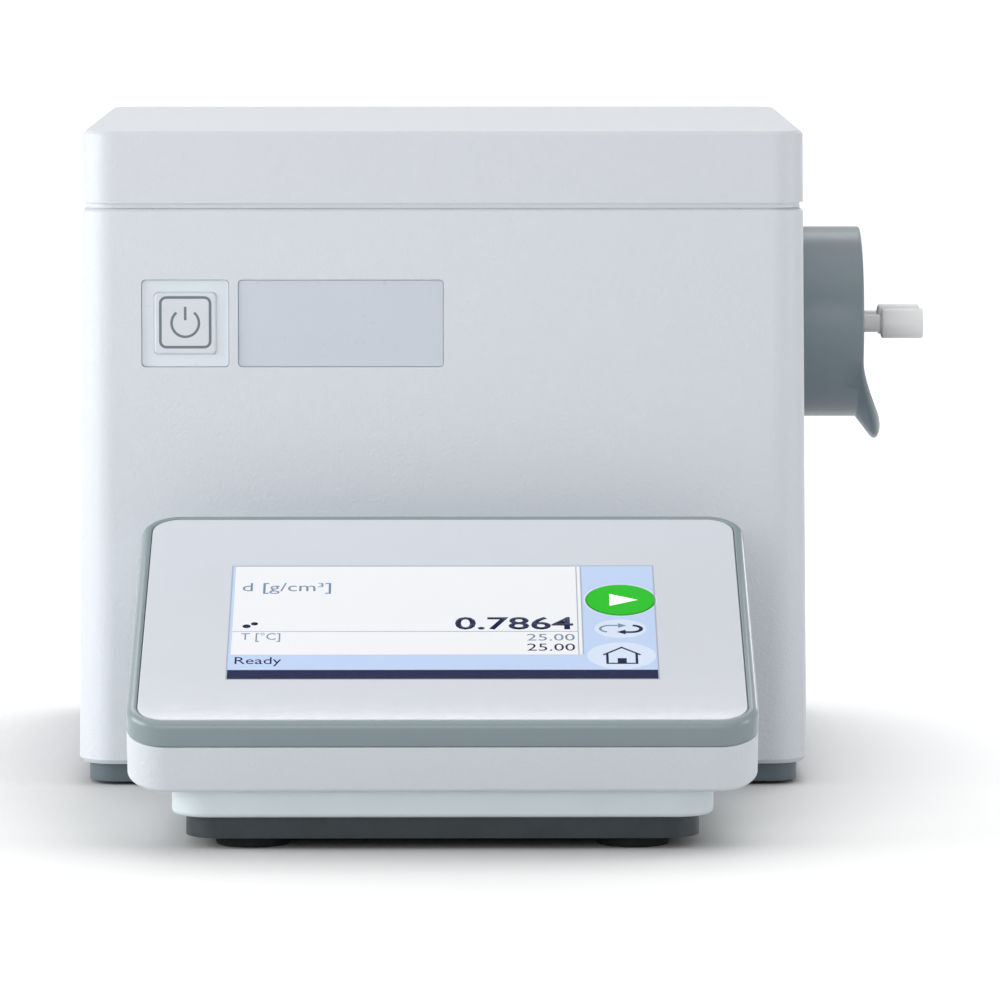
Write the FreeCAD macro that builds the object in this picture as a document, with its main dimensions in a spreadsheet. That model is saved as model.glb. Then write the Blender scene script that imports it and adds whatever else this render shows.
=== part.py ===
import FreeCAD, Part
import math
import operator
import os

import Sketcher

# Benchtop density meter with a touch terminal.
# X points right, Y to the back and Z up. The bench is z = 0.
# Every piece is laid out from the middle of the main housing's footprint,
# and the finished object is moved so that the origin lies in the middle of its bounding box.

SIZES = {
    # Main housing: a drafted ring of four walls, open above and below
    "housing_width": 273.0,
    "housing_depth": 254.8,
    "corner_radius": 14.0,
    "draft_angle": 0.58,
    "housing_wall": 3.2,
    "shell_foot": 8.2,
    "shell_height": 207.1,
    "shell_foot_chamfer": 1.6,
    "shell_rim_chamfer": 0.7,
    "wall_rib_depth": 5.0,
    "wall_rib_thickness": 1.8,
    "wall_rib_pitch": 42.0,
    "wall_rib_margin": 18.0,
    "ledge_width": 6.4,
    "ledge_height": 4.0,
    "corner_boss_size": 11.0,
    "corner_boss_inset": 11.0,
    "corner_boss_height": 16.0,
    "overrun": 4.0,
    # Base pan: the plinth below the shell, with the floor that carries the inside
    "plinth_inset": 3.8,
    "plinth_clearance": 1.2,
    "pan_wall": 2.5,
    "pan_floor": 2.5,
    "pan_rib_thickness": 2.0,
    "pan_rib_depth": 4.0,
    "pan_rib_share": 0.25,
    "vent_slot_length": 44.0,
    "vent_slot_width": 3.5,
    "vent_slot_pitch": 8.0,
    "vent_slot_count": 5,
    "housing_foot_diameter": 22.0,
    "housing_foot_inset": 30.0,
    # Lid: a deep cap with a stepped lip that leaves the shadow gap
    "lid_gap": 0.7,
    "lip_height": 1.9,
    "lip_inset": 1.3,
    "lid_height": 26.7,
    "lid_wall": 3.0,
    "lid_edge_chamfer": 1.1,
    "lid_rib_height": 4.0,
    "lid_rib_thickness": 1.6,
    "lid_rib_spacing": 84.0,
    "lid_pad_length": 10.0,
    "lid_pad_width": 1.4,
    "lid_pad_height": 0.6,
    # Lid hinge: two knuckles on brackets behind the deck
    "hinge_inset": 3.5,
    "hinge_rise": 3.0,
    "hinge_spacing": 170.0,
    "knuckle_length": 20.0,
    "knuckle_diameter": 6.0,
    "hinge_pin_diameter": 2.5,
    "ear_length": 6.0,
    "ear_size": 6.6,
    "hinge_side_gap": 0.4,
    "pin_running_gap": 0.05,
    "bracket_arm": 3.2,
    "bracket_leaf_depth": 16.0,
    "bracket_leaf_thickness": 2.0,
    "notch_clearance": 0.6,
    # Top deck under the lid
    "deck_drop": 3.3,
    "deck_thickness": 2.5,
    "deck_side_gap": 0.4,
    "seat_gap": 0.3,
    "deck_screw_share": 0.333,
    # Viewing window in the deck
    "window_length": 58.0,
    "window_width": 32.0,
    "window_corner": 4.0,
    "window_margin": 4.0,
    "window_glass": 2.0,
    "window_frame_border": 8.0,
    "window_frame_height": 3.2,
    "window_frame_chamfer": 0.7,
    "window_rise_gap": 0.15,
    # Drying cartridge in its trough
    "cartridge_diameter": 22.0,
    "cartridge_length": 112.0,
    "cartridge_cap": 12.0,
    "cartridge_inset": 55.4,
    "trough_wall": 2.0,
    # Power key, its surround and the blank plate beside it
    "key_inset": 40.7,
    "key_drop": 42.1,
    "surround_size": 32.6,
    "surround_radius": 1.6,
    "surround_recess": 1.1,
    "surround_flange": 3.0,
    "surround_flange_thickness": 1.5,
    "key_size": 22.8,
    "key_radius": 1.6,
    "key_proud": 0.9,
    "key_edge_chamfer": 0.5,
    "key_side_gap": 0.25,
    "key_skirt": 1.2,
    "key_skirt_thickness": 1.2,
    "key_rest_gap": 0.1,
    "key_stem_diameter": 7.0,
    "key_stem_length": 5.0,
    "plunger_diameter": 3.4,
    "plunger_length": 4.0,
    "plunger_gap": 0.06,
    "switch_size": 12.0,
    "switch_depth": 6.5,
    "switch_standoff": 1.6,
    "key_board_size": 38.0,
    "board_thickness": 1.6,
    "key_post_size": 5.0,
    "plate_gap": 3.3,
    "plate_width": 76.5,
    "plate_recess": 0.7,
    "plate_thickness": 0.8,
    "plate_side_gap": 0.15,
    # Sample port: collar with drip lip on the right-hand wall
    "port_y": -16.0,
    "port_drop": 48.7,
    "collar_inset": 6.9,
    "collar_diameter": 73.5,
    "collar_wall": 3.0,
    "collar_length": 35.6,
    "collar_top_setback": 2.4,
    "collar_crown": 0.85,
    "collar_flange": 1.8,
    "collar_flange_thickness": 3.0,
    "collar_wall_gap": 0.2,
    "collar_shoulder": 14.0,
    "collar_shoulder_lip": 3.8,
    "lip_root": 32.3,
    "lip_reach": 5.2,
    "lip_drop": 8.8,
    "lip_tip_thickness": 2.0,
    "lip_start": 22.0,
    "lip_tip_radius": 18.0,
    "lip_hollow_radius": 27.0,
    "port_plate_thickness": 4.0,
    "port_plate_gap": 0.1,
    "adapter_pitch": 24.0,
    "adapter_neck_diameter": 9.0,
    "adapter_head_start": 40.2,
    "adapter_head_length": 17.8,
    "adapter_across_flats": 12.2,
    "adapter_chamfer": 0.7,
    "adapter_shoulder_diameter": 15.0,
    "adapter_shoulder_thickness": 2.5,
    "adapter_shank_diameter": 8.0,
    "adapter_shank_length": 11.5,
    "luer_bore_diameter": 4.2,
    "luer_bore_depth": 9.0,
    "channel_across_flats": 2.0,
    "seal_thickness": 1.5,
    "shank_gap": 0.15,
    # Measuring cell
    "tube_across_flats": 3.9,
    "tube_gap": 0.2,
    "tube_entry": 6.0,
    "tube_straight": 72.0,
    "block_length": 86.0,
    "block_width": 60.0,
    "block_height": 30.0,
    "block_below_axis": 16.0,
    "block_end_wall": 20.0,
    "block_side_wall": 10.0,
    "block_floor": 10.0,
    "jacket_wall": 7.5,
    "block_from_port": 25.5,
    "peltier_size": 38.0,
    "peltier_thickness": 3.8,
    "sink_plate": 8.0,
    "sink_margin": 6.0,
    "fin_height": 30.0,
    "fin_thickness": 1.6,
    "fin_count": 10,
    "post_across_flats": 8.0,
    "post_inset": 6.0,
    # Cooling fan behind the rear panel
    "fan_side_share": 0.2637,
    "fan_rise": 10.0,
    "fan_size": 80.0,
    "fan_thickness": 25.0,
    "fan_bore": 76.0,
    "fan_screw_pitch": 71.5,
    "fan_plate": 3.0,
    "strut_width": 5.0,
    "motor_mount_size": 26.0,
    "hub_diameter": 33.0,
    "hub_height": 16.0,
    "rotor_shaft_diameter": 4.0,
    "rotor_shaft_gap": 0.05,
    "blade_tip_gap": 1.2,
    "blade_chord": 18.0,
    "blade_thickness": 1.6,
    "blade_pitch": 40.0,
    "blade_count": 7,
    # Rear panel in its rebate
    "panel_width": 220.0,
    "panel_height": 170.0,
    "panel_bottom": 17.0,
    "panel_thickness": 2.0,
    "panel_recess": 3.4,
    "panel_edge_gap": 0.3,
    "rebate_seat": 8.0,
    "rebate_frame": 6.0,
    "grille_slot_width": 3.4,
    "grille_slot_length": 62.0,
    "grille_slot_pitch": 7.0,
    "grille_slot_count": 9,
    "guard_size": 84.0,
    "guard_thickness": 1.2,
    # Main board and its connectors
    "board_standoff": 16.0,
    "board_wall_gap": 21.5,
    "board_sink_gap": 2.5,
    "board_panel_gap": 6.0,
    "board_depth": 132.0,
    "standoff_across_flats": 5.5,
    "standoff_inset": 6.0,
    "standoff_back_inset": 24.0,
    "socket_gap": 0.25,
    "power_socket_share": 0.4182,
    "power_socket_size": 11.0,
    "power_socket_depth": 16.0,
    "power_bore_diameter": 6.4,
    "power_pin_diameter": 2.0,
    "power_bore_depth": 9.5,
    "usb_device_share": 0.2818,
    "usb_device_width": 12.0,
    "usb_device_height": 11.0,
    "usb_host_share": 0.1636,
    "usb_host_width": 13.2,
    "usb_host_height": 7.0,
    "usb_depth": 17.0,
    "usb_shell": 0.7,
    "usb_cavity": 11.0,
    "usb_tongue_gap": 1.8,
    "usb_tongue_thickness": 2.0,
    "serial_width": 16.9,
    "serial_height": 8.4,
    "serial_flange_width": 30.8,
    "serial_flange_height": 12.5,
    "serial_depth": 12.0,
    "serial_shell": 0.8,
    "serial_slant": 10.0,
    "serial_hollow": 6.0,
    # Support plate from the base pan to the terminal
    "support_width": 180.6,
    "support_setback": 8.6,
    "support_depth": 110.0,
    "support_radius": 14.0,
    "support_clearance": 3.93,
    "support_height": 7.8,
    "support_wall": 3.0,
    "tongue_width": 90.0,
    "tongue_gap": 0.8,
    "tongue_reach": 86.0,
    "tongue_thickness": 3.8,
    "tongue_screw_share": 0.333,
    "tongue_row_share": 0.25,
    "terminal_screw_spacing": 134.0,
    "terminal_screw_pitch": 42.0,
    "terminal_foot_diameter": 27.1,
    "terminal_foot_taper": 14.0,
    "terminal_foot_spacing": 134.0,
    "terminal_foot_setback": 3.4,
    # Terminal: tilted slab of tray, bezel and glass on a wedge base
    "terminal_front": 187.4,
    "terminal_tilt": 20.0,
    "terminal_underside": 20.6,
    "terminal_width": 220.8,
    "terminal_length": 169.7,
    "terminal_radius": 14.0,
    "terminal_thickness": 27.6,
    "tray_height": 18.4,
    "tray_wall": 2.5,
    "tray_edge_chamfer": 1.8,
    "bezel_gap": 0.5,
    "bezel_rim": 3.6,
    "bezel_ledge": 4.0,
    "bezel_edge_chamfer": 0.8,
    "bezel_skirt": 3.5,
    "glass_thickness": 1.7,
    "glass_recess": 1.9,
    "glass_gap": 0.25,
    "display_width": 165.0,
    "display_height": 104.0,
    "display_thickness": 6.2,
    "display_centre": 80.7,
    "terminal_board_width": 180.0,
    "terminal_board_length": 118.0,
    "terminal_boss_height": 7.0,
    "wedge_width": 190.3,
    "wedge_setback": 4.6,
    "wedge_depth": 124.1,
    "wedge_radius": 14.0,
    "wedge_wall": 2.5,
    "wedge_edge_chamfer": 1.1,
    # Fasteners: hexagon heads
    "screw_across_flats": 5.5,
    "screw_head_height": 2.0,
}

OPERATORS = {"+": operator.add, "-": operator.sub, "*": operator.mul, "/": operator.truediv}


class Size:
    """A number that carries its spreadsheet formula, so that sums of sizes stay bound to the sheet."""

    def __init__(self, value, formula):
        self.value = float(value)
        self.formula = formula

    def __add__(self, other):
        return combine(self, "+", other)

    def __radd__(self, other):
        return combine(other, "+", self)

    def __sub__(self, other):
        return combine(self, "-", other)

    def __rsub__(self, other):
        return combine(other, "-", self)

    def __mul__(self, other):
        return combine(self, "*", other)

    def __rmul__(self, other):
        return combine(other, "*", self)

    def __truediv__(self, other):
        return combine(self, "/", other)

    def __neg__(self):
        return combine(0, "-", self)


def as_size(number):
    return number if isinstance(number, Size) else Size(number, repr(number))


def combine(left, symbol, right):
    left, right = as_size(left), as_size(right)
    value = OPERATORS[symbol](left.value, right.value)
    return Size(value, "(%s %s %s)" % (left.formula, symbol, right.formula))


def sine(angle):
    return Size(math.sin(math.radians(angle.value)), "sin(%s * 1 deg)" % angle.formula)


def cosine(angle):
    return Size(math.cos(math.radians(angle.value)), "cos(%s * 1 deg)" % angle.formula)


def tangent(angle):
    return Size(math.tan(math.radians(angle.value)), "tan(%s * 1 deg)" % angle.formula)


def bind(thing, name, size):
    thing.setExpression(name, as_size(size).formula)


class SheetSizes:
    """The driving dimensions, one spreadsheet row each, read back by name."""

    def __init__(self, document, values):
        sheet = document.addObject("Spreadsheet::Sheet", "Sizes")
        for row, (name, value) in enumerate(values.items(), start=1):
            sheet.set("A%d" % row, name)
            sheet.set("B%d" % row, str(value))
            sheet.setAlias("B%d" % row, name)
            setattr(self, name, Size(value, "Sizes." + name))


document = FreeCAD.newDocument("density_meter")
mm = SheetSizes(document, SIZES)
document.recompute()
pieces = []
SIDES = (-1, 1)
ZERO = as_size(0)

# Drawing in sketches

NORMALS = {"XY_Plane": 1, "YZ_Plane": 1, "XZ_Plane": -1}
QUARTER = 90
HALF_TURN = 180
FULL_TURN = 360
HEXAGON_SIDES = 6
TUBE_SIDES = 8
UNCHANGED_SHARE = 1 - 1e-9


def new_piece(name, x=0, y=0, z=0, axis=None, angle=0):
    """A body whose placement is bound to the sheet; axis and angle turn it about its own origin."""
    body = document.addObject("PartDesign::Body", name)
    body.Label = name
    if axis:
        body.Placement = FreeCAD.Placement(
            FreeCAD.Vector(0, 0, 0), FreeCAD.Rotation(FreeCAD.Vector(*axis), as_size(angle).value)
        )
        body.setExpression("Placement.Rotation.Angle", "%s * 1 deg" % as_size(angle).formula)
    bind(body, "Placement.Base.x", datum_x + x)
    bind(body, "Placement.Base.y", datum_y + y)
    bind(body, "Placement.Base.z", z)
    pieces.append(body)
    return body


def origin_feature(body, role):
    return [feature for feature in body.Origin.OriginFeatures if feature.Role == role][0]


def new_sketch(body, plane, height):
    sketch = body.newObject("Sketcher::SketchObject", "outline")
    sketch.AttachmentSupport = (origin_feature(body, plane), "")
    sketch.MapMode = "FlatFace"
    bind(sketch, "AttachmentOffset.Base.z", height * NORMALS[plane])
    return sketch


def fix(sketch, kind, where, size):
    size = as_size(size)
    number = sketch.addConstraint(Sketcher.Constraint(kind, *where, size.value))
    sketch.setExpression("Constraints[%d]" % number, size.formula)


def point(x, y):
    return FreeCAD.Vector(as_size(x).value, as_size(y).value, 0)


def rounded(width, depth, radius, x=0, y=0):
    """A rectangle with round corners about (x, y)."""

    def draw(sketch):
        first = sketch.GeometryCount
        reach_x, reach_y = width / 2 - radius, depth / 2 - radius
        centres = [(x + sx * reach_x, y + sy * reach_y) for sx, sy in ((1, 1), (-1, 1), (-1, -1), (1, -1))]
        steps = [(0, 1), (-1, 0), (0, -1), (1, 0)]
        normal = FreeCAD.Vector(0, 0, 1)
        for quarter, centre in enumerate(centres):
            circle = Part.Circle(point(*centre), normal, radius.value)
            start = math.radians(QUARTER * quarter)
            sketch.addGeometry(Part.ArcOfCircle(circle, start, start + math.radians(QUARTER)))
        for quarter, (sx, sy) in enumerate(steps):
            here, there = centres[quarter], centres[(quarter + 1) % len(centres)]
            start = point(here[0] + sx * radius, here[1] + sy * radius)
            end = point(there[0] + sx * radius, there[1] + sy * radius)
            sketch.addGeometry(Part.LineSegment(start, end))
        for quarter in range(len(centres)):
            arc, line = first + quarter, first + len(centres) + quarter
            following = first + (quarter + 1) % len(centres)
            sketch.addConstraint(Sketcher.Constraint("Tangent", arc, 2, line, 1))
            sketch.addConstraint(Sketcher.Constraint("Tangent", line, 2, following, 1))
            if quarter:
                sketch.addConstraint(Sketcher.Constraint("Equal", first, arc))
            fix(sketch, "DistanceX", (-1, 1, arc, 3), centres[quarter][0])
            fix(sketch, "DistanceY", (-1, 1, arc, 3), centres[quarter][1])
        fix(sketch, "Radius", (first,), radius)

    return draw


def circle(diameter, x=0, y=0):
    def draw(sketch):
        number = sketch.addGeometry(Part.Circle(point(x, y), FreeCAD.Vector(0, 0, 1), diameter.value / 2))
        fix(sketch, "Diameter", (number,), diameter)
        fix(sketch, "DistanceX", (-1, 1, number, 3), x)
        fix(sketch, "DistanceY", (-1, 1, number, 3), y)

    return draw


def polygon(corners, arcs=None):
    """A closed outline; arcs maps a side's number to the radius of its arc, which bows to the left."""
    arcs = arcs or {}

    def draw(sketch):
        first = sketch.GeometryCount
        for side, corner in enumerate(corners):
            start, end = point(*corner), point(*corners[(side + 1) % len(corners)])
            if side in arcs:
                chord = end - start
                middle = (start + end) * 0.5
                radius = abs(arcs[side].value)
                bow = radius - math.sqrt(radius ** 2 - chord.Length ** 2 / 4)
                across = FreeCAD.Vector(-chord.y, chord.x, 0).normalize()
                if arcs[side].value < 0:
                    across = across * -1
                sketch.addGeometry(Part.Arc(start, middle + across * bow, end))
            else:
                sketch.addGeometry(Part.LineSegment(start, end))
        for side, corner in enumerate(corners):
            number, following = first + side, first + (side + 1) % len(corners)
            end_here = near_end(sketch, number, corners[(side + 1) % len(corners)])
            start_next = near_end(sketch, following, corners[(side + 1) % len(corners)])
            sketch.addConstraint(Sketcher.Constraint("Coincident", number, end_here, following, start_next))
            start_here = near_end(sketch, number, corner)
            fix(sketch, "DistanceX", (-1, 1, number, start_here), corner[0])
            fix(sketch, "DistanceY", (-1, 1, number, start_here), corner[1])
            if side in arcs:
                positive = arcs[side] if arcs[side].value > 0 else -arcs[side]
                fix(sketch, "Radius", (number,), positive)

    return draw


def near_end(sketch, number, corner):
    """Which end of a sketched line or arc lies at the corner: 1 is its start and 2 its end."""
    goal = point(*corner)
    return min((1, 2), key=lambda end: sketch.getPoint(number, end).distanceToPoint(goal))


def box_outline(left, right, low, high):
    return polygon([(left, low), (right, low), (right, high), (left, high)])


def square(size, x, y):
    return box_outline(x - size / 2, x + size / 2, y - size / 2, y + size / 2)


def regular(sides, across_flats, x=0, y=0):
    """A shape with equal sides about (x, y), with one corner straight above."""
    radius = across_flats / 2 / cosine(as_size(FULL_TURN / sides / 2))
    corners = []
    for corner in range(sides):
        angle = as_size(QUARTER + corner * FULL_TURN / sides)
        corners.append((x + radius * cosine(angle), y + radius * sine(angle)))
    return polygon(corners)


def hexagon(across_flats, x=0, y=0):
    return regular(HEXAGON_SIDES, across_flats, x, y)


# Features

def feature(body, kind, sketch, length, taper=None):
    made = body.newObject(kind, kind.split("::")[1].lower())
    made.Profile = sketch
    bind(made, "Length", length)
    if taper is not None:
        bind(made, "TaperAngle", taper)
    body.Tip = made
    return made


def pad(body, plane, outlines, low, high, taper=None):
    """Adds the outlines' area from low to high along the plane's axis; a taper widens it on the way."""
    sketch = new_sketch(body, plane, low if NORMALS[plane] > 0 else high)
    for outline in outlines:
        outline(sketch)
    return feature(body, "PartDesign::Pad", sketch, high - low, taper)


def pocket(body, plane, outlines, low, high, taper=None):
    """Cuts the outlines' area between low and high, starting from the sketch's outer side."""
    sketch = new_sketch(body, plane, high if NORMALS[plane] > 0 else low)
    for outline in outlines:
        outline(sketch)
    document.recompute()
    before = body.Shape.Volume
    made = feature(body, "PartDesign::Pocket", sketch, high - low, taper)
    document.recompute()
    if body.Shape.Volume > before * UNCHANGED_SHARE:
        raise RuntimeError("a pocket in %s cuts nothing" % body.Label)
    return made


def chamfer_edges(body, size, chosen):
    """Bevels the edges of the newest feature that the test picks."""
    document.recompute()
    base = body.Tip
    names = ["Edge%d" % (number + 1) for number, edge in enumerate(base.Shape.Edges) if chosen(edge)]
    chamfer = body.newObject("PartDesign::Chamfer", "chamfer")
    chamfer.Base = (base, names)
    bind(chamfer, "Size", size)
    body.Tip = chamfer
    document.recompute()


def repeat_along(body, made, axis, pitch, count):
    pattern = body.newObject("PartDesign::LinearPattern", "row")
    pattern.Originals = [made]
    pattern.Direction = (origin_feature(body, axis), [""])
    bind(pattern, "Length", pitch * (count.value - 1))
    pattern.Occurrences = int(count.value)
    body.Tip = pattern
    document.recompute()


def revolve(body, plane, outline, axis, turn=FULL_TURN):
    """Turns the outline about an axis of its sketch."""
    sketch = new_sketch(body, plane, ZERO)
    outline(sketch)
    made = body.newObject("PartDesign::Revolution", "revolution")
    made.Profile = sketch
    made.ReferenceAxis = (sketch, [axis])
    bind(made, "Angle", turn)
    body.Tip = made
    return made


TOUCH = 1e-4


def level_with(height):
    """Picks edges that lie wholly at one height of the body's own frame."""
    goal = height.value
    return lambda edge: abs(edge.BoundBox.ZMin - goal) < TOUCH and abs(edge.BoundBox.ZMax - goal) < TOUCH


def screws(name, places, low, plane="XY_Plane"):
    """A group of like screws, each a hexagon head on the face that it holds."""
    heads = [hexagon(mm.screw_across_flats, *place) for place in places]
    pad(new_piece(name), plane, heads, low, low + mm.screw_head_height)


# Shared places

slope = tangent(mm.draft_angle)
shell_rim = mm.shell_foot + mm.shell_height
lid_foot = shell_rim + mm.lid_gap + mm.lip_height
lid_top = lid_foot + mm.lid_height


def half_width(height):
    """From the middle to the drafted side wall's outer face at a height above the bench."""
    return mm.housing_width / 2 - (height - mm.shell_foot) * slope


def half_depth(height):
    return mm.housing_depth / 2 - (height - mm.shell_foot) * slope


def drafted(height, inset=0):
    """The housing's outline at a height, drawn in by an inset."""
    radius = mm.corner_radius - (height - mm.shell_foot) * slope - inset
    return rounded(2 * (half_width(height) - inset), 2 * (half_depth(height) - inset), radius)


key_x = -(mm.housing_width / 2 - mm.key_inset)
key_z = shell_rim - mm.key_drop
port_z = shell_rim - mm.port_drop
port_inner_x = half_width(port_z) - mm.collar_inset
terminal_nose = -(half_depth(key_z) + mm.terminal_front)
head_end = mm.adapter_head_start + mm.adapter_head_length
datum_x = (mm.housing_width / 2 - port_inner_x - head_end) / 2
datum_y = -(terminal_nose + mm.housing_depth / 2) / 2
pan_top = mm.shell_foot + mm.pan_floor
deck_top = shell_rim - mm.deck_drop
deck_low = deck_top - mm.deck_thickness
hinge_y = half_depth(lid_foot) - mm.hinge_inset
hinge_z = lid_foot + mm.hinge_rise
inlet_y = mm.port_y - mm.adapter_pitch / 2
outlet_y = mm.port_y + mm.adapter_pitch / 2
port_face = port_inner_x + mm.collar_shoulder + mm.port_plate_thickness
panel_face_y = mm.housing_depth / 2 - mm.panel_recess
panel_back = panel_face_y - mm.panel_thickness
panel_middle = mm.panel_bottom + mm.panel_height / 2
fan_x = mm.fan_side_share * mm.panel_width
fan_z = panel_middle + mm.fan_rise
cartridge_y = mm.housing_depth / 2 - mm.cartridge_inset
board_low = pan_top + mm.board_standoff
board_top = board_low + mm.board_thickness
tube_end = port_face - mm.tube_entry
block_right = port_inner_x + mm.collar_shoulder - mm.block_from_port
block_left = block_right - mm.block_length
block_low = port_z - mm.block_below_axis
block_high = block_low + mm.block_height
cavity_left = block_left + mm.block_side_wall / 2
cavity_right = block_right - mm.block_end_wall
window_x = (cavity_left + cavity_right) / 2


# Main housing

surround_face = half_depth(key_z) - mm.surround_recess
plate_face = half_depth(key_z) - mm.plate_recess
plate_back = plate_face - mm.plate_thickness
plate_x = key_x + mm.surround_size / 2 + mm.plate_gap + mm.plate_width / 2
corner_places = [
    (sx * (mm.housing_width / 2 - mm.corner_boss_inset), sy * (mm.housing_depth / 2 - mm.corner_boss_inset))
    for sx in SIDES
    for sy in SIDES
]
panel_screw_places = [
    (sx * (mm.panel_width - mm.rebate_seat) / 2, panel_middle + sz * (mm.panel_height - mm.rebate_seat) / 2)
    for sx in SIDES
    for sz in SIDES
]


def panel_box(margin):
    """The rear panel's rectangle, grown by a margin."""
    half_wide, half_high = mm.panel_width / 2 + margin, mm.panel_height / 2 + margin
    return box_outline(-half_wide, half_wide, panel_middle - half_high, panel_middle + half_high)


def build_main_housing():
    housing = new_piece("main_housing")
    pad(housing, "XY_Plane", [drafted(mm.shell_foot)], mm.shell_foot, shell_rim, -mm.draft_angle)
    chamfer_edges(housing, mm.shell_foot_chamfer, level_with(mm.shell_foot))
    chamfer_edges(housing, mm.shell_rim_chamfer, level_with(shell_rim))
    pocket(housing, "XY_Plane", [drafted(shell_rim, mm.housing_wall)], mm.shell_foot, shell_rim)
    seat = mm.plinth_inset - mm.seat_gap
    pan_seat = rounded(mm.housing_width - 2 * seat, mm.housing_depth - 2 * seat, mm.corner_radius - seat)
    pocket(housing, "XY_Plane", [pan_seat], mm.shell_foot, pan_top + mm.seat_gap)
    ledge = [drafted(deck_low, mm.housing_wall / 2), drafted(deck_low, mm.housing_wall + mm.ledge_width)]
    pad(housing, "XY_Plane", ledge, deck_low - mm.ledge_height, deck_low)
    bosses = [square(mm.corner_boss_size, *place) for place in corner_places]
    pad(housing, "XY_Plane", bosses, pan_top, pan_top + mm.corner_boss_height)
    pad(housing, "XZ_Plane", [panel_box(mm.rebate_frame)], panel_back - mm.rebate_frame, panel_face_y)
    rib_root = mm.housing_width / 2 - mm.housing_wall / 2
    rib_tip = rib_root - mm.housing_wall / 2 - mm.wall_rib_depth
    for place in (-1, 0, 1):
        rib_y = place * mm.wall_rib_pitch
        low, high = pan_top + mm.wall_rib_margin, deck_low - mm.ledge_height
        rib_left = -(half_width(high) - mm.housing_wall / 2)
        rib = box_outline(
            rib_left, -rib_tip, rib_y - mm.wall_rib_thickness / 2, rib_y + mm.wall_rib_thickness / 2
        )
        pad(housing, "XY_Plane", [rib], low, high)
    pocket(housing, "XZ_Plane", [panel_box(ZERO)], panel_back, mm.housing_depth / 2 + mm.overrun)
    pocket(housing, "XZ_Plane", [panel_box(-mm.rebate_seat)], panel_back - 2 * mm.rebate_frame, panel_back)
    key_window = rounded(mm.surround_size, mm.surround_size, mm.surround_radius, key_x, key_z)
    front = -mm.housing_depth / 2 - mm.overrun
    pocket(housing, "XZ_Plane", [key_window], front, -(half_depth(key_z) - 2 * mm.housing_wall))
    plate_window = rounded(mm.plate_width, mm.surround_size, mm.surround_radius, plate_x, key_z)
    pocket(housing, "XZ_Plane", [plate_window], front, -plate_back)
    port_hole = circle(mm.collar_diameter + 2 * mm.collar_wall_gap, mm.port_y, port_z)
    hole_start = half_width(port_z) - 2 * mm.housing_wall
    pocket(housing, "YZ_Plane", [port_hole], hole_start, mm.housing_width / 2 + mm.overrun)


# Base pan with plinth skirt, floor slots and ribs

plinth_width = mm.housing_width - 2 * mm.plinth_inset
plinth_depth = mm.housing_depth - 2 * mm.plinth_inset
plinth_radius = mm.corner_radius - mm.plinth_inset
support_front = terminal_nose + mm.terminal_thickness * sine(mm.terminal_tilt) + mm.support_setback
foot_x = mm.housing_width / 2 - mm.housing_foot_inset
foot_y = mm.housing_depth / 2 - mm.housing_foot_inset
foot_places = [(sx * foot_x, sy * foot_y) for sx in SIDES for sy in SIDES]
tongue_end = -plinth_depth / 2 + mm.tongue_reach
tongue_screw_places = [
    (sx * mm.tongue_width * mm.tongue_screw_share, tongue_end - step * mm.tongue_reach * mm.tongue_row_share)
    for sx in SIDES
    for step in (1, 2)
]


def build_base_pan():
    pan = new_piece("base_pan")
    outline = rounded(plinth_width, plinth_depth, plinth_radius)
    pad(pan, "XY_Plane", [outline], mm.plinth_clearance, pan_top)
    inner = rounded(
        plinth_width - 2 * mm.pan_wall, plinth_depth - 2 * mm.pan_wall, plinth_radius - mm.pan_wall
    )
    pocket(pan, "XY_Plane", [inner], mm.plinth_clearance - mm.overrun, mm.shell_foot)
    rib_low = mm.shell_foot - mm.pan_rib_depth
    half_rib = mm.pan_rib_thickness / 2
    rib_reach = plinth_width / 2 - mm.pan_wall / 2
    rib_y = mm.housing_depth * mm.pan_rib_share
    cross_rib = box_outline(-rib_reach, rib_reach, rib_y - half_rib, rib_y + half_rib)
    pad(pan, "XY_Plane", [cross_rib], rib_low, mm.shell_foot)
    notch = box_outline(
        -(mm.tongue_width / 2 + mm.tongue_gap),
        mm.tongue_width / 2 + mm.tongue_gap,
        -(plinth_depth / 2 + mm.overrun),
        -(plinth_depth / 2 - 2 * mm.pan_wall),
    )
    pocket(pan, "XY_Plane", [notch], mm.plinth_clearance - mm.overrun, mm.shell_foot)
    slot_x = (block_left + block_right) / 2
    first_y = mm.port_y - (mm.vent_slot_count.value - 1) / 2 * mm.vent_slot_pitch
    half_long, half_wide = mm.vent_slot_length / 2, mm.vent_slot_width / 2
    slot = box_outline(slot_x - half_long, slot_x + half_long, first_y - half_wide, first_y + half_wide)
    made = pocket(pan, "XY_Plane", [slot], mm.shell_foot - mm.overrun, pan_top)
    repeat_along(pan, made, "Y_Axis", mm.vent_slot_pitch, mm.vent_slot_count)


def build_base_fittings():
    feet = new_piece("housing_feet")
    circles = [circle(mm.housing_foot_diameter, *place) for place in foot_places]
    pad(feet, "XY_Plane", circles, ZERO, mm.shell_foot)
    screws("base_screws", corner_places, mm.shell_foot - mm.screw_head_height)


# Lid

knuckle_places = [sx * mm.hinge_spacing / 2 for sx in SIDES]
ear_start = mm.knuckle_length / 2 + mm.hinge_side_gap
ear_bore = mm.hinge_pin_diameter + mm.pin_running_gap


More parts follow.
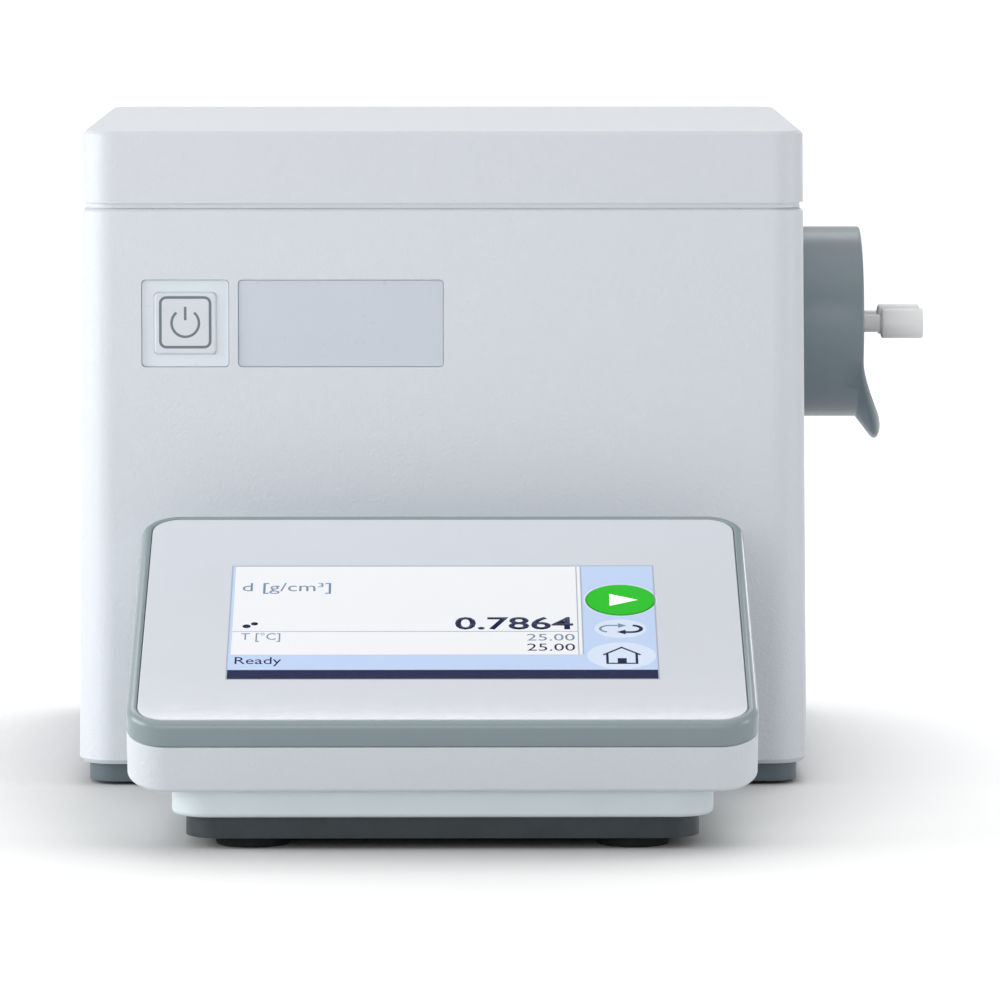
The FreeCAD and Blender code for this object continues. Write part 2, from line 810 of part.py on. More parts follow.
def build_lid():
    lid = new_piece("lid")
    pad(lid, "XY_Plane", [drafted(lid_foot)], lid_foot, lid_top, -mm.draft_angle)
    chamfer_edges(lid, mm.lid_edge_chamfer, level_with(lid_top))
    ceiling = lid_top - mm.lid_wall
    pocket(lid, "XY_Plane", [drafted(ceiling, mm.lid_wall)], lid_foot, ceiling)
    lip_low = lid_foot - mm.lip_height
    lip = [drafted(lid_foot, mm.lip_inset), drafted(lid_foot, mm.lid_wall)]
    pad(lid, "XY_Plane", lip, lip_low, lid_foot + mm.lip_height)
    reach = half_width(lid_foot)
    rear_lip = box_outline(-reach, reach, hinge_y - mm.ear_size, half_depth(lid_foot) + mm.overrun)
    pocket(lid, "XY_Plane", [rear_lip], lip_low, lid_foot)
    rib_low = ceiling - mm.lid_rib_height
    inner_y = half_depth(lid_top) - mm.lid_wall / 2
    inner_x = half_width(lid_top) - mm.lid_wall / 2
    half_rib = mm.lid_rib_thickness / 2
    for place in (-1, 0, 1):
        x = place * mm.lid_rib_spacing
        pad(lid, "XY_Plane", [box_outline(x - half_rib, x + half_rib, -inner_y, inner_y)], rib_low, ceiling)
    pad(lid, "XY_Plane", [box_outline(-inner_x, inner_x, -half_rib, half_rib)], rib_low, ceiling)
    notch_half = mm.knuckle_length / 2 + mm.hinge_side_gap
    notch_top = hinge_z + mm.knuckle_diameter / 2 + mm.notch_clearance
    for x in knuckle_places:
        notch = box_outline(x - notch_half, x + notch_half, lid_foot - mm.overrun, notch_top)
        wall_inside = half_depth(lid_foot) - 2 * mm.lid_wall
        pocket(lid, "XZ_Plane", [notch], wall_inside, half_depth(lid_foot) + mm.overrun)
        for side in SIDES:
            near = x + side * ear_start
            far = near + side * mm.ear_length
            low, high = (near, far) if side > 0 else (far, near)
            pad(lid, "YZ_Plane", [square(mm.ear_size, hinge_y, hinge_z)], low, high)
            pocket(lid, "YZ_Plane", [square(ear_bore, hinge_y, hinge_z)], low, high)


def build_hinge():
    pins = new_piece("hinge_pins")
    brackets = new_piece("hinge_brackets")
    front = hinge_y - mm.knuckle_diameter / 2
    arm_back = front + mm.bracket_arm - mm.seat_gap
    leaf_front = front - mm.bracket_leaf_depth
    leaf_top = deck_top + mm.bracket_leaf_thickness
    arm = polygon(
        [
            (leaf_front, deck_top),
            (arm_back, deck_top),
            (arm_back, hinge_z),
            (front, hinge_z),
            (front, leaf_top + mm.bracket_leaf_thickness),
            (front - mm.bracket_leaf_thickness, leaf_top),
            (leaf_front, leaf_top),
        ]
    )
    bore = circle(mm.hinge_pin_diameter + 2 * mm.pin_running_gap, hinge_y, hinge_z)
    for x in knuckle_places:
        low, high = x - mm.knuckle_length / 2, x + mm.knuckle_length / 2
        reach = ear_start + mm.ear_length
        pad(pins, "YZ_Plane", [circle(mm.hinge_pin_diameter, hinge_y, hinge_z)], x - reach, x + reach)
        pad(brackets, "YZ_Plane", [arm], low, high)
        pad(brackets, "YZ_Plane", [circle(mm.knuckle_diameter, hinge_y, hinge_z)], low, high)
        pocket(brackets, "YZ_Plane", [bore], low, high)


def build_lid_pads():
    pads = new_piece("lid_pads")
    y = -(half_depth(shell_rim) - (mm.lip_inset + mm.lid_wall) / 2)
    half_length, half_pad = mm.lid_pad_length / 2, mm.lid_pad_width / 2
    for sx in SIDES:
        x = sx * (half_width(shell_rim) - 2 * mm.corner_radius)
        outline = box_outline(x - half_length, x + half_length, y - half_pad, y + half_pad)
        pad(pads, "XY_Plane", [outline], shell_rim, shell_rim + mm.lid_pad_height)


# Deck under the lid, with window opening and cartridge trough

trough_radius = mm.cartridge_diameter / 2 + mm.seat_gap
deck_screw_places = [
    (
        sx * (half_width(deck_top) - mm.housing_wall - mm.ledge_width / 2),
        sy * mm.housing_depth * mm.deck_screw_share,
    )
    for sx in SIDES
    for sy in SIDES
]
window_outline = rounded(mm.window_length, mm.window_width, mm.window_corner, window_x, mm.port_y)


def build_top_deck():
    deck = new_piece("top_deck")
    outline = drafted(deck_top, mm.housing_wall + mm.deck_side_gap)
    pad(deck, "XY_Plane", [outline], deck_low, deck_top)
    half_length = mm.cartridge_length / 2 + mm.seat_gap
    trough_low = deck_top - trough_radius - mm.trough_wall
    trough = box_outline(
        -(half_length + mm.trough_wall),
        half_length + mm.trough_wall,
        cartridge_y - trough_radius - mm.trough_wall,
        cartridge_y + trough_radius + mm.trough_wall,
    )
    pad(deck, "XY_Plane", [trough], trough_low, deck_low)
    cradle = circle(2 * trough_radius, cartridge_y, deck_top)
    pocket(deck, "YZ_Plane", [cradle], -half_length, half_length)
    pocket(deck, "XY_Plane", [window_outline], deck_low, deck_top)
    screws("deck_screws", deck_screw_places, deck_top)


def window_box(length, width):
    return box_outline(
        window_x - length / 2, window_x + length / 2, mm.port_y - width / 2, mm.port_y + width / 2
    )


def build_window():
    glass_length = mm.window_length + 2 * mm.window_margin
    glass_width = mm.window_width + 2 * mm.window_margin
    frame_length = mm.window_length + 2 * mm.window_frame_border
    frame_width = mm.window_width + 2 * mm.window_frame_border
    glass = new_piece("cell_window")
    pad(glass, "XY_Plane", [window_box(glass_length, glass_width)], deck_top, deck_top + mm.window_glass)
    frame = new_piece("window_frame")
    outer = rounded(frame_length, frame_width, mm.window_corner + mm.window_margin, window_x, mm.port_y)
    pad(frame, "XY_Plane", [outer], deck_top, deck_top + mm.window_frame_height)
    chamfer_edges(frame, mm.window_frame_chamfer, level_with(deck_top + mm.window_frame_height))
    pocket(frame, "XY_Plane", [window_outline], deck_top, deck_top + mm.window_frame_height)
    rebate = window_box(glass_length + 2 * mm.glass_gap, glass_width + 2 * mm.glass_gap)
    pocket(frame, "XY_Plane", [rebate], deck_top, deck_top + mm.window_glass + mm.window_rise_gap)


def build_cartridge():
    """A clear tube of drying beads between two caps."""
    body_length = mm.cartridge_length - 2 * mm.cartridge_cap
    tube = new_piece("drying_cartridge", y=cartridge_y, z=deck_top)
    tube_diameter = mm.cartridge_diameter - mm.trough_wall
    pad(tube, "YZ_Plane", [circle(tube_diameter)], -body_length / 2, body_length / 2)
    caps = new_piece("cartridge_caps", y=cartridge_y, z=deck_top)
    for side in SIDES:
        near, far = side * body_length / 2, side * mm.cartridge_length / 2
        low, high = (near, far) if side > 0 else (far, near)
        pad(caps, "YZ_Plane", [circle(mm.cartridge_diameter)], low, high)


# Power key group

key_frame_back = half_depth(shell_rim) - mm.housing_wall - mm.seat_gap
key_front = half_depth(key_z) - mm.surround_recess + mm.key_proud
key_hole = mm.key_size + 2 * mm.key_side_gap
flange_back = key_frame_back - mm.surround_flange_thickness
skirt_front = flange_back - mm.key_rest_gap
skirt_back = skirt_front - mm.key_skirt_thickness
stem_back = skirt_back - mm.key_stem_length
plunger_back = stem_back - mm.plunger_length
switch_front = stem_back - mm.switch_standoff
switch_back = switch_front - mm.switch_depth
key_board_back = switch_back - mm.board_thickness
post_reach = (mm.key_board_size - mm.key_post_size) / 2
post_places = [(key_x + sx * post_reach, key_z + sz * post_reach) for sx in SIDES for sz in SIDES]


def key_square(size, radius):
    """A square about the key's middle, with round corners."""
    return rounded(size, size, radius, key_x, key_z)


def build_power_key():
    surround = new_piece("key_surround")
    face_size = mm.surround_size - 2 * mm.plate_side_gap
    face = key_square(face_size, mm.surround_radius)
    pad(surround, "XZ_Plane", [face], -surround_face, -key_frame_back)
    flange = square(mm.surround_size + 2 * mm.surround_flange, key_x, key_z)
    pad(surround, "XZ_Plane", [flange], -key_frame_back, -flange_back)
    pocket(surround, "XZ_Plane", [key_square(key_hole, mm.key_radius)], -surround_face, -flange_back)
    posts = [square(mm.key_post_size, *place) for place in post_places]
    pad(surround, "XZ_Plane", posts, -flange_back, -switch_back)

    key = new_piece("power_key")
    pad(key, "XZ_Plane", [key_square(mm.key_size, mm.key_radius)], -key_front, -skirt_front)
    front = -key_front.value
    chamfer_edges(
        key,
        mm.key_edge_chamfer,
        lambda edge: abs(edge.BoundBox.YMin - front) < TOUCH and abs(edge.BoundBox.YMax - front) < TOUCH,
    )
    skirt = square(mm.key_size + 2 * mm.key_skirt, key_x, key_z)
    pad(key, "XZ_Plane", [skirt], -skirt_front, -skirt_back)
    pad(key, "XZ_Plane", [circle(mm.key_stem_diameter, key_x, key_z)], -skirt_back, -stem_back)

    plunger = new_piece("switch_plunger")
    pad(plunger, "XZ_Plane", [circle(mm.plunger_diameter, key_x, key_z)], -stem_back, -plunger_back)

    switch = new_piece("power_switch")
    pad(switch, "XZ_Plane", [square(mm.switch_size, key_x, key_z)], -switch_front, -switch_back)
    bore = circle(mm.plunger_diameter + 2 * mm.plunger_gap, key_x, key_z)
    pocket(switch, "XZ_Plane", [bore], -switch_front, -(plunger_back - mm.key_proud - mm.seat_gap))

    board = new_piece("key_board")
    pad(board, "XZ_Plane", [square(mm.key_board_size, key_x, key_z)], -switch_back, -key_board_back)


def build_front_plate():
    plate = new_piece("front_plate")
    outline = rounded(
        mm.plate_width - 2 * mm.plate_side_gap,
        mm.surround_size - 2 * mm.plate_side_gap,
        mm.surround_radius - mm.plate_side_gap,
        plate_x,
        key_z,
    )
    pad(plate, "XZ_Plane", [outline], -plate_face, -plate_back)


# Sample port: local X runs outwards along the collar's axis

collar_radius = mm.collar_diameter / 2
collar_inner = collar_radius - mm.collar_wall
port_plate_radius = collar_inner - mm.port_plate_gap


def teardrop(radius, tip_radius, drop):
    """A large arc and a small one below it, joined by the two lines that touch both."""

    def draw(sketch):
        first = sketch.GeometryCount
        lean = math.acos((radius.value - tip_radius.value) / drop.value)
        down = -math.radians(QUARTER)
        normal = FreeCAD.Vector(0, 0, 1)
        large = Part.Circle(FreeCAD.Vector(0, 0, 0), normal, radius.value)
        small = Part.Circle(point(0, -drop), normal, tip_radius.value)
        sketch.addGeometry(Part.ArcOfCircle(large, down + lean, down - lean + math.radians(FULL_TURN)))
        sketch.addGeometry(Part.ArcOfCircle(small, down - lean, down + lean))
        for side in SIDES:
            reach = side * math.sin(lean)
            start = FreeCAD.Vector(radius.value * reach, -radius.value * math.cos(lean), 0)
            low = -drop.value - tip_radius.value * math.cos(lean)
            end = FreeCAD.Vector(tip_radius.value * reach, low, 0)
            sketch.addGeometry(Part.LineSegment(start, end) if side < 0 else Part.LineSegment(end, start))
        arc, tip, left, right = range(first, first + 4)
        for joint in ((arc, 2, left, 1), (left, 2, tip, 1), (tip, 2, right, 1), (right, 2, arc, 1)):
            sketch.addConstraint(Sketcher.Constraint("Tangent", *joint))
        for number, height in ((arc, ZERO), (tip, -drop)):
            fix(sketch, "DistanceX", (-1, 1, number, 3), 0)
            fix(sketch, "DistanceY", (-1, 1, number, 3), height)
        fix(sketch, "Radius", (arc,), radius)
        fix(sketch, "Radius", (tip,), tip_radius)

    return draw


def build_port_collar():
    """A trumpet turned in one piece, then cut back to a domed end and a drip lip at the bottom."""
    collar = new_piece("port_collar", port_inner_x, mm.port_y, port_z)
    shoulder_radius = collar_inner - mm.collar_shoulder_lip
    flange_radius = collar_radius + mm.collar_flange
    tip_radius = collar_radius + mm.lip_drop
    tip_x = mm.collar_length + mm.lip_reach
    trumpet = polygon(
        [
            (ZERO, shoulder_radius),
            (mm.collar_shoulder, shoulder_radius),
            (mm.collar_shoulder, collar_inner),
            (mm.lip_root + mm.collar_wall / 2, collar_inner),
            (tip_x, tip_radius - 2 * mm.lip_tip_thickness),
            (tip_x, tip_radius),
            (tip_x - mm.lip_tip_thickness, tip_radius),
            (mm.lip_root, collar_radius),
            (mm.collar_flange_thickness, collar_radius),
            (mm.collar_flange_thickness, flange_radius),
            (ZERO, flange_radius),
        ],
        {3: -mm.lip_hollow_radius},
    )
    revolve(collar, "XZ_Plane", trumpet, "H_Axis")
    document.recompute()
    reach = tip_radius + mm.overrun
    far = tip_x + mm.overrun
    top_x = mm.collar_length - mm.collar_top_setback
    chord = reach + mm.lip_start
    crown_radius = chord * chord / (8 * mm.collar_crown)
    front_cut = polygon(
        [
            (top_x, reach),
            (mm.collar_length, -mm.lip_start),
            (tip_x + mm.lip_reach * mm.overrun / mm.lip_drop / 2, -reach),
            (far + mm.overrun, -reach),
            (far + mm.overrun, reach),
        ],
        {0: crown_radius},
    )
    pocket(collar, "XZ_Plane", [front_cut], -reach, reach)
    drop = tip_radius - mm.lip_tip_radius
    around = [circle(2 * reach), teardrop(collar_radius, mm.lip_tip_radius, drop)]
    pocket(collar, "YZ_Plane", around, mm.lip_root, far)


def build_port_plate():
    plate = new_piece("port_plate", port_inner_x, mm.port_y, port_z)
    low = mm.collar_shoulder
    high = low + mm.port_plate_thickness
    pad(plate, "YZ_Plane", [circle(2 * port_plate_radius)], low, high)
    bore = mm.adapter_shank_diameter + 2 * mm.shank_gap
    holes = [circle(bore, side * mm.adapter_pitch / 2, 0) for side in SIDES]
    pocket(plate, "YZ_Plane", holes, low, high)


seal_face = mm.collar_shoulder + mm.port_plate_thickness + mm.seal_thickness
shoulder_face = seal_face + mm.adapter_shoulder_thickness


def build_adapters():
    seals = new_piece("adapter_seals", port_inner_x, mm.port_y, port_z)
    bore = mm.adapter_shank_diameter + 2 * mm.shank_gap
    half_length = (mm.adapter_pitch + mm.adapter_shoulder_diameter) / 2
    half_height = mm.adapter_shoulder_diameter / 2
    outlines = [box_outline(-half_length, half_length, -half_height, half_height)]
    outlines += [circle(bore, side * mm.adapter_pitch / 2, 0) for side in SIDES]
    pad(seals, "YZ_Plane", outlines, seal_face - mm.seal_thickness, seal_face)
    for name, y in (("inlet_adapter", inlet_y), ("outlet_adapter", outlet_y)):
        adapter = new_piece(name, port_inner_x, y, port_z)
        shank_start = seal_face - mm.adapter_shank_length
        pad(adapter, "YZ_Plane", [circle(mm.adapter_shank_diameter)], shank_start, seal_face)
        pad(adapter, "YZ_Plane", [circle(mm.adapter_shoulder_diameter)], seal_face, shoulder_face)
        pad(adapter, "YZ_Plane", [circle(mm.adapter_neck_diameter)], shoulder_face, mm.adapter_head_start)
        pad(adapter, "YZ_Plane", [hexagon(mm.adapter_across_flats)], mm.adapter_head_start, head_end)
        ends = (mm.adapter_head_start.value, head_end.value)
        chamfer_edges(
            adapter,
            mm.adapter_chamfer,
            lambda edge: edge.Curve.TypeId == "Part::GeomLine"
            and edge.BoundBox.XLength < TOUCH
            and min(abs(edge.BoundBox.XMin - end) for end in ends) < TOUCH,
        )
        glass_bore = regular(TUBE_SIDES, mm.tube_across_flats + 2 * mm.tube_gap)
        glass_depth = shank_start + mm.adapter_shank_length - mm.seal_thickness - mm.tube_gap
        pocket(adapter, "YZ_Plane", [glass_bore], shank_start, glass_depth)
        pocket(adapter, "YZ_Plane", [hexagon(mm.channel_across_flats)], glass_depth, head_end)
        luer_start = head_end - mm.luer_bore_depth
        pocket(adapter, "YZ_Plane", [circle(mm.luer_bore_diameter)], luer_start, head_end)


# Measuring cell: U-tube, thermostat block, jacket, Peltier elements and heat sink

def build_u_tube():
    """Two straight legs and the half turn between them, all with eight sides."""
    tube = new_piece("u_tube", tube_end - mm.tube_straight, mm.port_y, port_z)
    legs = [regular(TUBE_SIDES, mm.tube_across_flats, side * mm.adapter_pitch / 2) for side in SIDES]
    pad(tube, "YZ_Plane", legs, ZERO, mm.tube_straight)
    section = regular(TUBE_SIDES, mm.tube_across_flats, mm.adapter_pitch / 2)
    revolve(tube, "YZ_Plane", section, "V_Axis", HALF_TURN)


def leg_holes():
    size = mm.tube_across_flats + 4 * mm.tube_gap
    return [regular(TUBE_SIDES, size, y, port_z) for y in (inlet_y, outlet_y)]


def build_cell():
    half_block = mm.block_width / 2
    block = new_piece("cell_block")
    outline = box_outline(block_left, block_right, mm.port_y - half_block, mm.port_y + half_block)
    pad(block, "XY_Plane", [outline], block_low, block_high)
    half_cavity = half_block - mm.block_side_wall
    cavity = box_outline(cavity_left, cavity_right, mm.port_y - half_cavity, mm.port_y + half_cavity)
    pocket(block, "XY_Plane", [cavity], block_low + mm.block_floor, block_high)
    pocket(block, "YZ_Plane", leg_holes(), cavity_right, block_right)

    jacket = new_piece("cell_jacket")
    wall = mm.jacket_wall
    gap = mm.seat_gap
    outer = box_outline(
        block_left - wall, block_right + wall, mm.port_y - half_block - wall, mm.port_y + half_block + wall
    )
    pad(jacket, "XY_Plane", [outer], block_low, deck_low)
    room = box_outline(
        block_left - gap, block_right + gap, mm.port_y - half_block - gap, mm.port_y + half_block + gap
    )
    pocket(jacket, "XY_Plane", [room], block_low - mm.overrun, block_high)
    pocket(jacket, "XY_Plane", [window_outline], block_high, deck_low)
    pocket(jacket, "YZ_Plane", leg_holes(), block_right, block_right + wall)

    elements = new_piece("peltier_elements")
    element_low = block_low - mm.peltier_thickness
    half = mm.peltier_size / 2
    for share in (1, 3):
        x = block_left + share * mm.block_length / 4
        outline = box_outline(x - half, x + half, mm.port_y - half, mm.port_y + half)
        pad(elements, "XY_Plane", [outline], element_low, block_low)

    sink = new_piece("heat_sink")
    sink_low = element_low - mm.sink_plate
    left, right = block_left - mm.sink_margin, block_right + mm.sink_margin
    front, back = mm.port_y - half_block - 2 * mm.sink_margin, mm.port_y + half_block + 2 * mm.sink_margin
    pad(sink, "XY_Plane", [box_outline(left, right, front, back)], sink_low, element_low)
    fin_pitch = (right - left - mm.fin_thickness) / (mm.fin_count - 1)
    fin_inset = 2 * mm.post_inset
    fin = box_outline(left, left + mm.fin_thickness, front + fin_inset, back - fin_inset)
    made = pad(sink, "XY_Plane", [fin], sink_low - mm.fin_height, sink_low)
    repeat_along(sink, made, "X_Axis", fin_pitch, mm.fin_count)

    posts = new_piece("stand_posts")
    circles = [
        hexagon(mm.post_across_flats, x, y)
        for x in (left + mm.post_inset, right - mm.post_inset)
        for y in (front + mm.post_inset, back - mm.post_inset)
    ]
    pad(posts, "XY_Plane", circles, pan_top, sink_low)


# Cooling fan: local Z is the air's way out through the rear panel

fan_depth_y = panel_back - mm.fan_thickness
blade_reach = mm.fan_bore / 2 - mm.blade_tip_gap


def fan_piece(name):
    return new_piece(name, fan_x, fan_depth_y, fan_z, (1, 0, 0), as_size(-QUARTER))


def square_blade():
    half_chord, half_blade = mm.blade_chord / 2, mm.blade_thickness / 2
    return box_outline(-half_chord, half_chord, -half_blade, half_blade)


def build_fan():
    frame = fan_piece("fan_frame")
    pad(frame, "XY_Plane", [square(mm.fan_size, 0, 0)], ZERO, mm.fan_thickness)
    pocket(frame, "XY_Plane", [circle(mm.fan_bore)], ZERO, mm.fan_thickness)
    half_strut = mm.strut_width / 2
    reach = mm.fan_bore / 2 + mm.blade_tip_gap
    struts = [box_outline(-reach, reach, -half_strut, half_strut)]
    pad(frame, "XY_Plane", struts, ZERO, mm.fan_plate)
    pad(frame, "XY_Plane", [box_outline(-half_strut, half_strut, -reach, reach)], ZERO, mm.fan_plate)
    pad(frame, "XY_Plane", [square(mm.motor_mount_size, 0, 0)], ZERO, mm.fan_plate)
    shaft_bore = circle(mm.rotor_shaft_diameter + 2 * mm.rotor_shaft_gap)
    pocket(frame, "XY_Plane", [shaft_bore], ZERO, mm.fan_plate)

    impeller = fan_piece("fan_impeller")
    hub_low = mm.fan_plate + mm.blade_tip_gap
    hub_high = hub_low + mm.hub_height
    hub = regular(2 * int(mm.blade_count.value), mm.hub_diameter)
    pad(impeller, "XY_Plane", [hub], hub_low, hub_high)
    pad(impeller, "XY_Plane", [circle(mm.rotor_shaft_diameter)], ZERO, hub_low)
    root = mm.hub_diameter / 2 - mm.blade_thickness
    blade = pad(impeller, "YZ_Plane", [square_blade()], root, blade_reach)
    section = blade.Profile[0]
    bind(section, "AttachmentOffset.Base.y", (hub_low + hub_high) / 2)
    section.setExpression("AttachmentOffset.Rotation.Angle", "%s * 1 deg" % mm.blade_pitch.formula)
    ring = impeller.newObject("PartDesign::PolarPattern", "blades")
    ring.Originals = [blade]
    ring.Axis = (origin_feature(impeller, "Z_Axis"), [""])
    ring.Angle = FULL_TURN
    ring.Occurrences = int(mm.blade_count.value)
    impeller.Tip = ring


# Rear panel with grille slots and socket openings

power_socket_x = -mm.power_socket_share * mm.panel_width
usb_device_x = -mm.usb_device_share * mm.panel_width
usb_host_x = -mm.usb_host_share * mm.panel_width


def socket_window(x, width, height):
    grown_width, grown_height = width + 2 * mm.socket_gap, height + 2 * mm.socket_gap
    low = board_top - mm.socket_gap
    half = grown_width / 2
    return box_outline(x - half, x + half, low, low + grown_height)


guard_screw_places = [
    (fan_x + sx * mm.fan_screw_pitch / 2, fan_z + sz * mm.fan_screw_pitch / 2)
    for sx in SIDES
    for sz in SIDES
]


def build_rear_panel():
    panel = new_piece("rear_panel")
    pad(panel, "XZ_Plane", [panel_box(-mm.panel_edge_gap)], panel_back, panel_face_y)
    windows = [
        circle(mm.fan_bore, fan_x, fan_z),
        socket_window(power_socket_x, mm.power_socket_size, mm.power_socket_size),
        socket_window(usb_device_x, mm.usb_device_width, mm.usb_device_height),
        socket_window(usb_host_x, mm.usb_host_width, mm.usb_host_height),
        serial_window(),
    ]
    pocket(panel, "XZ_Plane", windows, panel_back, panel_face_y)
    screws("panel_screws", panel_screw_places, panel_face_y, "XZ_Plane")


def build_fan_guard():
    guard = new_piece("fan_guard")
    guard_back = panel_face_y + mm.guard_thickness
    pad(guard, "XZ_Plane", [square(mm.guard_size, fan_x, fan_z)], panel_face_y, guard_back)
    first = fan_z - (mm.grille_slot_count.value - 1) / 2 * mm.grille_slot_pitch
    half_long, half_wide = mm.grille_slot_length / 2, mm.grille_slot_width / 2
    slot = box_outline(fan_x - half_long, fan_x + half_long, first - half_wide, first + half_wide)
    made = pocket(guard, "XZ_Plane", [slot], panel_face_y, guard_back)
    repeat_along(guard, made, "Z_Axis", mm.grille_slot_pitch, mm.grille_slot_count)
    screws("fan_screws", guard_screw_places, guard_back, "XZ_Plane")


serial_z = board_top + mm.serial_flange_height / 2


def serial_shape(width, height):
    """The D outline, wider at the top."""
    half_top, half_height = width / 2, height / 2
    half_low = half_top - height * tangent(mm.serial_slant)
    return polygon(
        [
            (-half_low, serial_z - half_height),
            (half_low, serial_z - half_height),
            (half_top, serial_z + half_height),
            (-half_top, serial_z + half_height),
        ]
    )


def serial_window():
    return serial_shape(mm.serial_width + 2 * mm.socket_gap, mm.serial_height + 2 * mm.socket_gap)


# Main board, standoffs and sockets

board_left = -(mm.housing_width / 2 - mm.board_wall_gap)
board_right = block_left - mm.sink_margin - mm.board_sink_gap
board_back = panel_back - mm.board_panel_gap
board_front = board_back - mm.board_depth


def build_board():
    board = new_piece("main_board")
    outline = box_outline(board_left, board_right, board_front, board_back)
    pad(board, "XY_Plane", [outline], board_low, board_top)
    standoffs = new_piece("board_standoffs")
    inset = mm.standoff_inset
    places = [
        (x, y)
        for x in (board_left + inset, board_right - inset)
        for y in (board_front + inset, board_back - mm.standoff_back_inset)
    ]
    hexagons = [hexagon(mm.standoff_across_flats, *place) for place in places]
    pad(standoffs, "XY_Plane", hexagons, pan_top, board_low)


def build_sockets():
    face = panel_face_y + mm.socket_gap
    power = new_piece("power_socket")
    half = mm.power_socket_size / 2
    x = power_socket_x
    middle = board_top + half
    body = box_outline(x - half, x + half, board_top, board_top + mm.power_socket_size)
    pad(power, "XZ_Plane", [body], face - mm.power_socket_depth, face)
    ring = [circle(mm.power_bore_diameter, x, middle), circle(mm.power_pin_diameter, x, middle)]
    pocket_from_back(power, ring, face, mm.power_bore_depth)
    for name, place, width, height in (
        ("usb_device_socket", usb_device_x, mm.usb_device_width, mm.usb_device_height),
        ("usb_host_socket", usb_host_x, mm.usb_host_width, mm.usb_host_height),
    ):
        socket = new_piece(name)
        half = width / 2
        body = box_outline(place - half, place + half, board_top, board_top + height)
        pad(socket, "XZ_Plane", [body], face - mm.usb_depth, face)
        shell = mm.usb_shell
        inner_half = half - shell
        low, high = board_top + shell, board_top + height - shell
        middle = (low + high) / 2
        tongue_half, tongue_rise = inner_half - mm.usb_tongue_gap, mm.usb_tongue_thickness / 2
        hollow = box_outline(place - inner_half, place + inner_half, low, high)
        tongue = box_outline(
            place - tongue_half, place + tongue_half, middle - tongue_rise, middle + tongue_rise
        )
        pocket_from_back(socket, [hollow, tongue], face, mm.usb_cavity)
    serial = new_piece("serial_socket")
    half_flange = mm.serial_flange_width / 2
    flange = box_outline(-half_flange, half_flange, board_top, board_top + mm.serial_flange_height)
    flange_face = panel_back - mm.seat_gap
    pad(serial, "XZ_Plane", [flange], face - mm.serial_depth, flange_face)
    shell = serial_shape(mm.serial_width, mm.serial_height)
    pad(serial, "XZ_Plane", [shell], flange_face, face + mm.socket_gap)
    wall = 2 * mm.serial_shell
    hollow = serial_shape(mm.serial_width - wall, mm.serial_height - wall)
    pocket_from_back(serial, [hollow], face + mm.socket_gap, mm.serial_hollow)


def pocket_from_back(body, outlines, face, depth):
    """Cuts inwards from a face that looks to the back; an outline inside another leaves a core standing."""
    sketch = new_sketch(body, "XZ_Plane", face)
    for outline in outlines:
        outline(sketch)
    document.recompute()
    before = body.Shape.Volume
    made = feature(body, "PartDesign::Pocket", sketch, depth)
    made.Reversed = True
    document.recompute()
    if body.Shape.Volume > before * UNCHANGED_SHARE:
        raise RuntimeError("a pocket in %s cuts nothing" % body.Label)


# Support plate, terminal base and feet

support_high = mm.support_clearance + mm.support_height
wedge_front = terminal_nose + mm.terminal_thickness * sine(mm.terminal_tilt)
terminal_foot_radius = mm.terminal_foot_diameter / 2
terminal_foot_y = support_front + mm.terminal_foot_setback + terminal_foot_radius
terminal_foot_places = [(sx * mm.terminal_foot_spacing / 2, terminal_foot_y) for sx in SIDES]
terminal_screw_y = terminal_foot_y + mm.terminal_foot_diameter
terminal_screw_places = [
    (sx * mm.terminal_screw_spacing / 2, terminal_screw_y + step * mm.terminal_screw_pitch)
    for sx in SIDES
    for step in (0, 1)
]


def build_support():
    plate = new_piece("support_plate")
    middle = support_front + mm.support_depth / 2
    outline = rounded(mm.support_width, mm.support_depth, mm.support_radius, 0, middle)
    pad(plate, "XY_Plane", [outline], mm.support_clearance, support_high)
    wall = mm.support_wall
    inner = rounded(
        mm.support_width - 2 * wall, mm.support_depth - 2 * wall, mm.support_radius - wall, 0, middle
    )
    pocket(plate, "XY_Plane", [inner], mm.support_clearance - mm.overrun, support_high - wall)
    bosses = [square(mm.terminal_foot_diameter, *place) for place in terminal_foot_places]
    pad(plate, "XY_Plane", bosses, mm.support_clearance, support_high - wall)
    half = mm.tongue_width / 2
    start = support_front + mm.support_depth - wall
    tongue_high = mm.shell_foot
    tongue_low = tongue_high - mm.tongue_thickness
    pad(plate, "XY_Plane", [box_outline(-half, half, start, tongue_end)], tongue_low, tongue_high)
    half_rib = wall / 2
    for side in SIDES:
        x = side * (half - wall)
        rib = box_outline(x - half_rib, x + half_rib, support_front + wall / 2, start + wall / 2)
        pad(plate, "XY_Plane", [rib], mm.support_clearance, support_high - wall)
    screws("terminal_screws", terminal_screw_places, support_high - wall - mm.screw_head_height)
    screws("support_screws", tongue_screw_places, tongue_low - mm.screw_head_height)

    feet = new_piece("terminal_feet")
    circles = [circle(mm.terminal_foot_diameter, *place) for place in terminal_foot_places]
    sketch = new_sketch(feet, "XY_Plane", mm.support_clearance)
    for outline in circles:
        outline(sketch)
    made = feature(feet, "PartDesign::Pad", sketch, mm.support_clearance, -mm.terminal_foot_taper)
    made.Reversed = True


def terminal_piece(name):
    """The slab's own frame: Y runs up the slope from the front lower edge and Z stands on the slab."""
    return new_piece(name, 0, wedge_front, mm.terminal_underside, (1, 0, 0), mm.terminal_tilt)


def slab(inset):
    """The slab's outline, drawn in by an inset."""
    width, length = mm.terminal_width - 2 * inset, mm.terminal_length - 2 * inset
    return rounded(width, length, mm.terminal_radius - inset, 0, mm.terminal_length / 2)


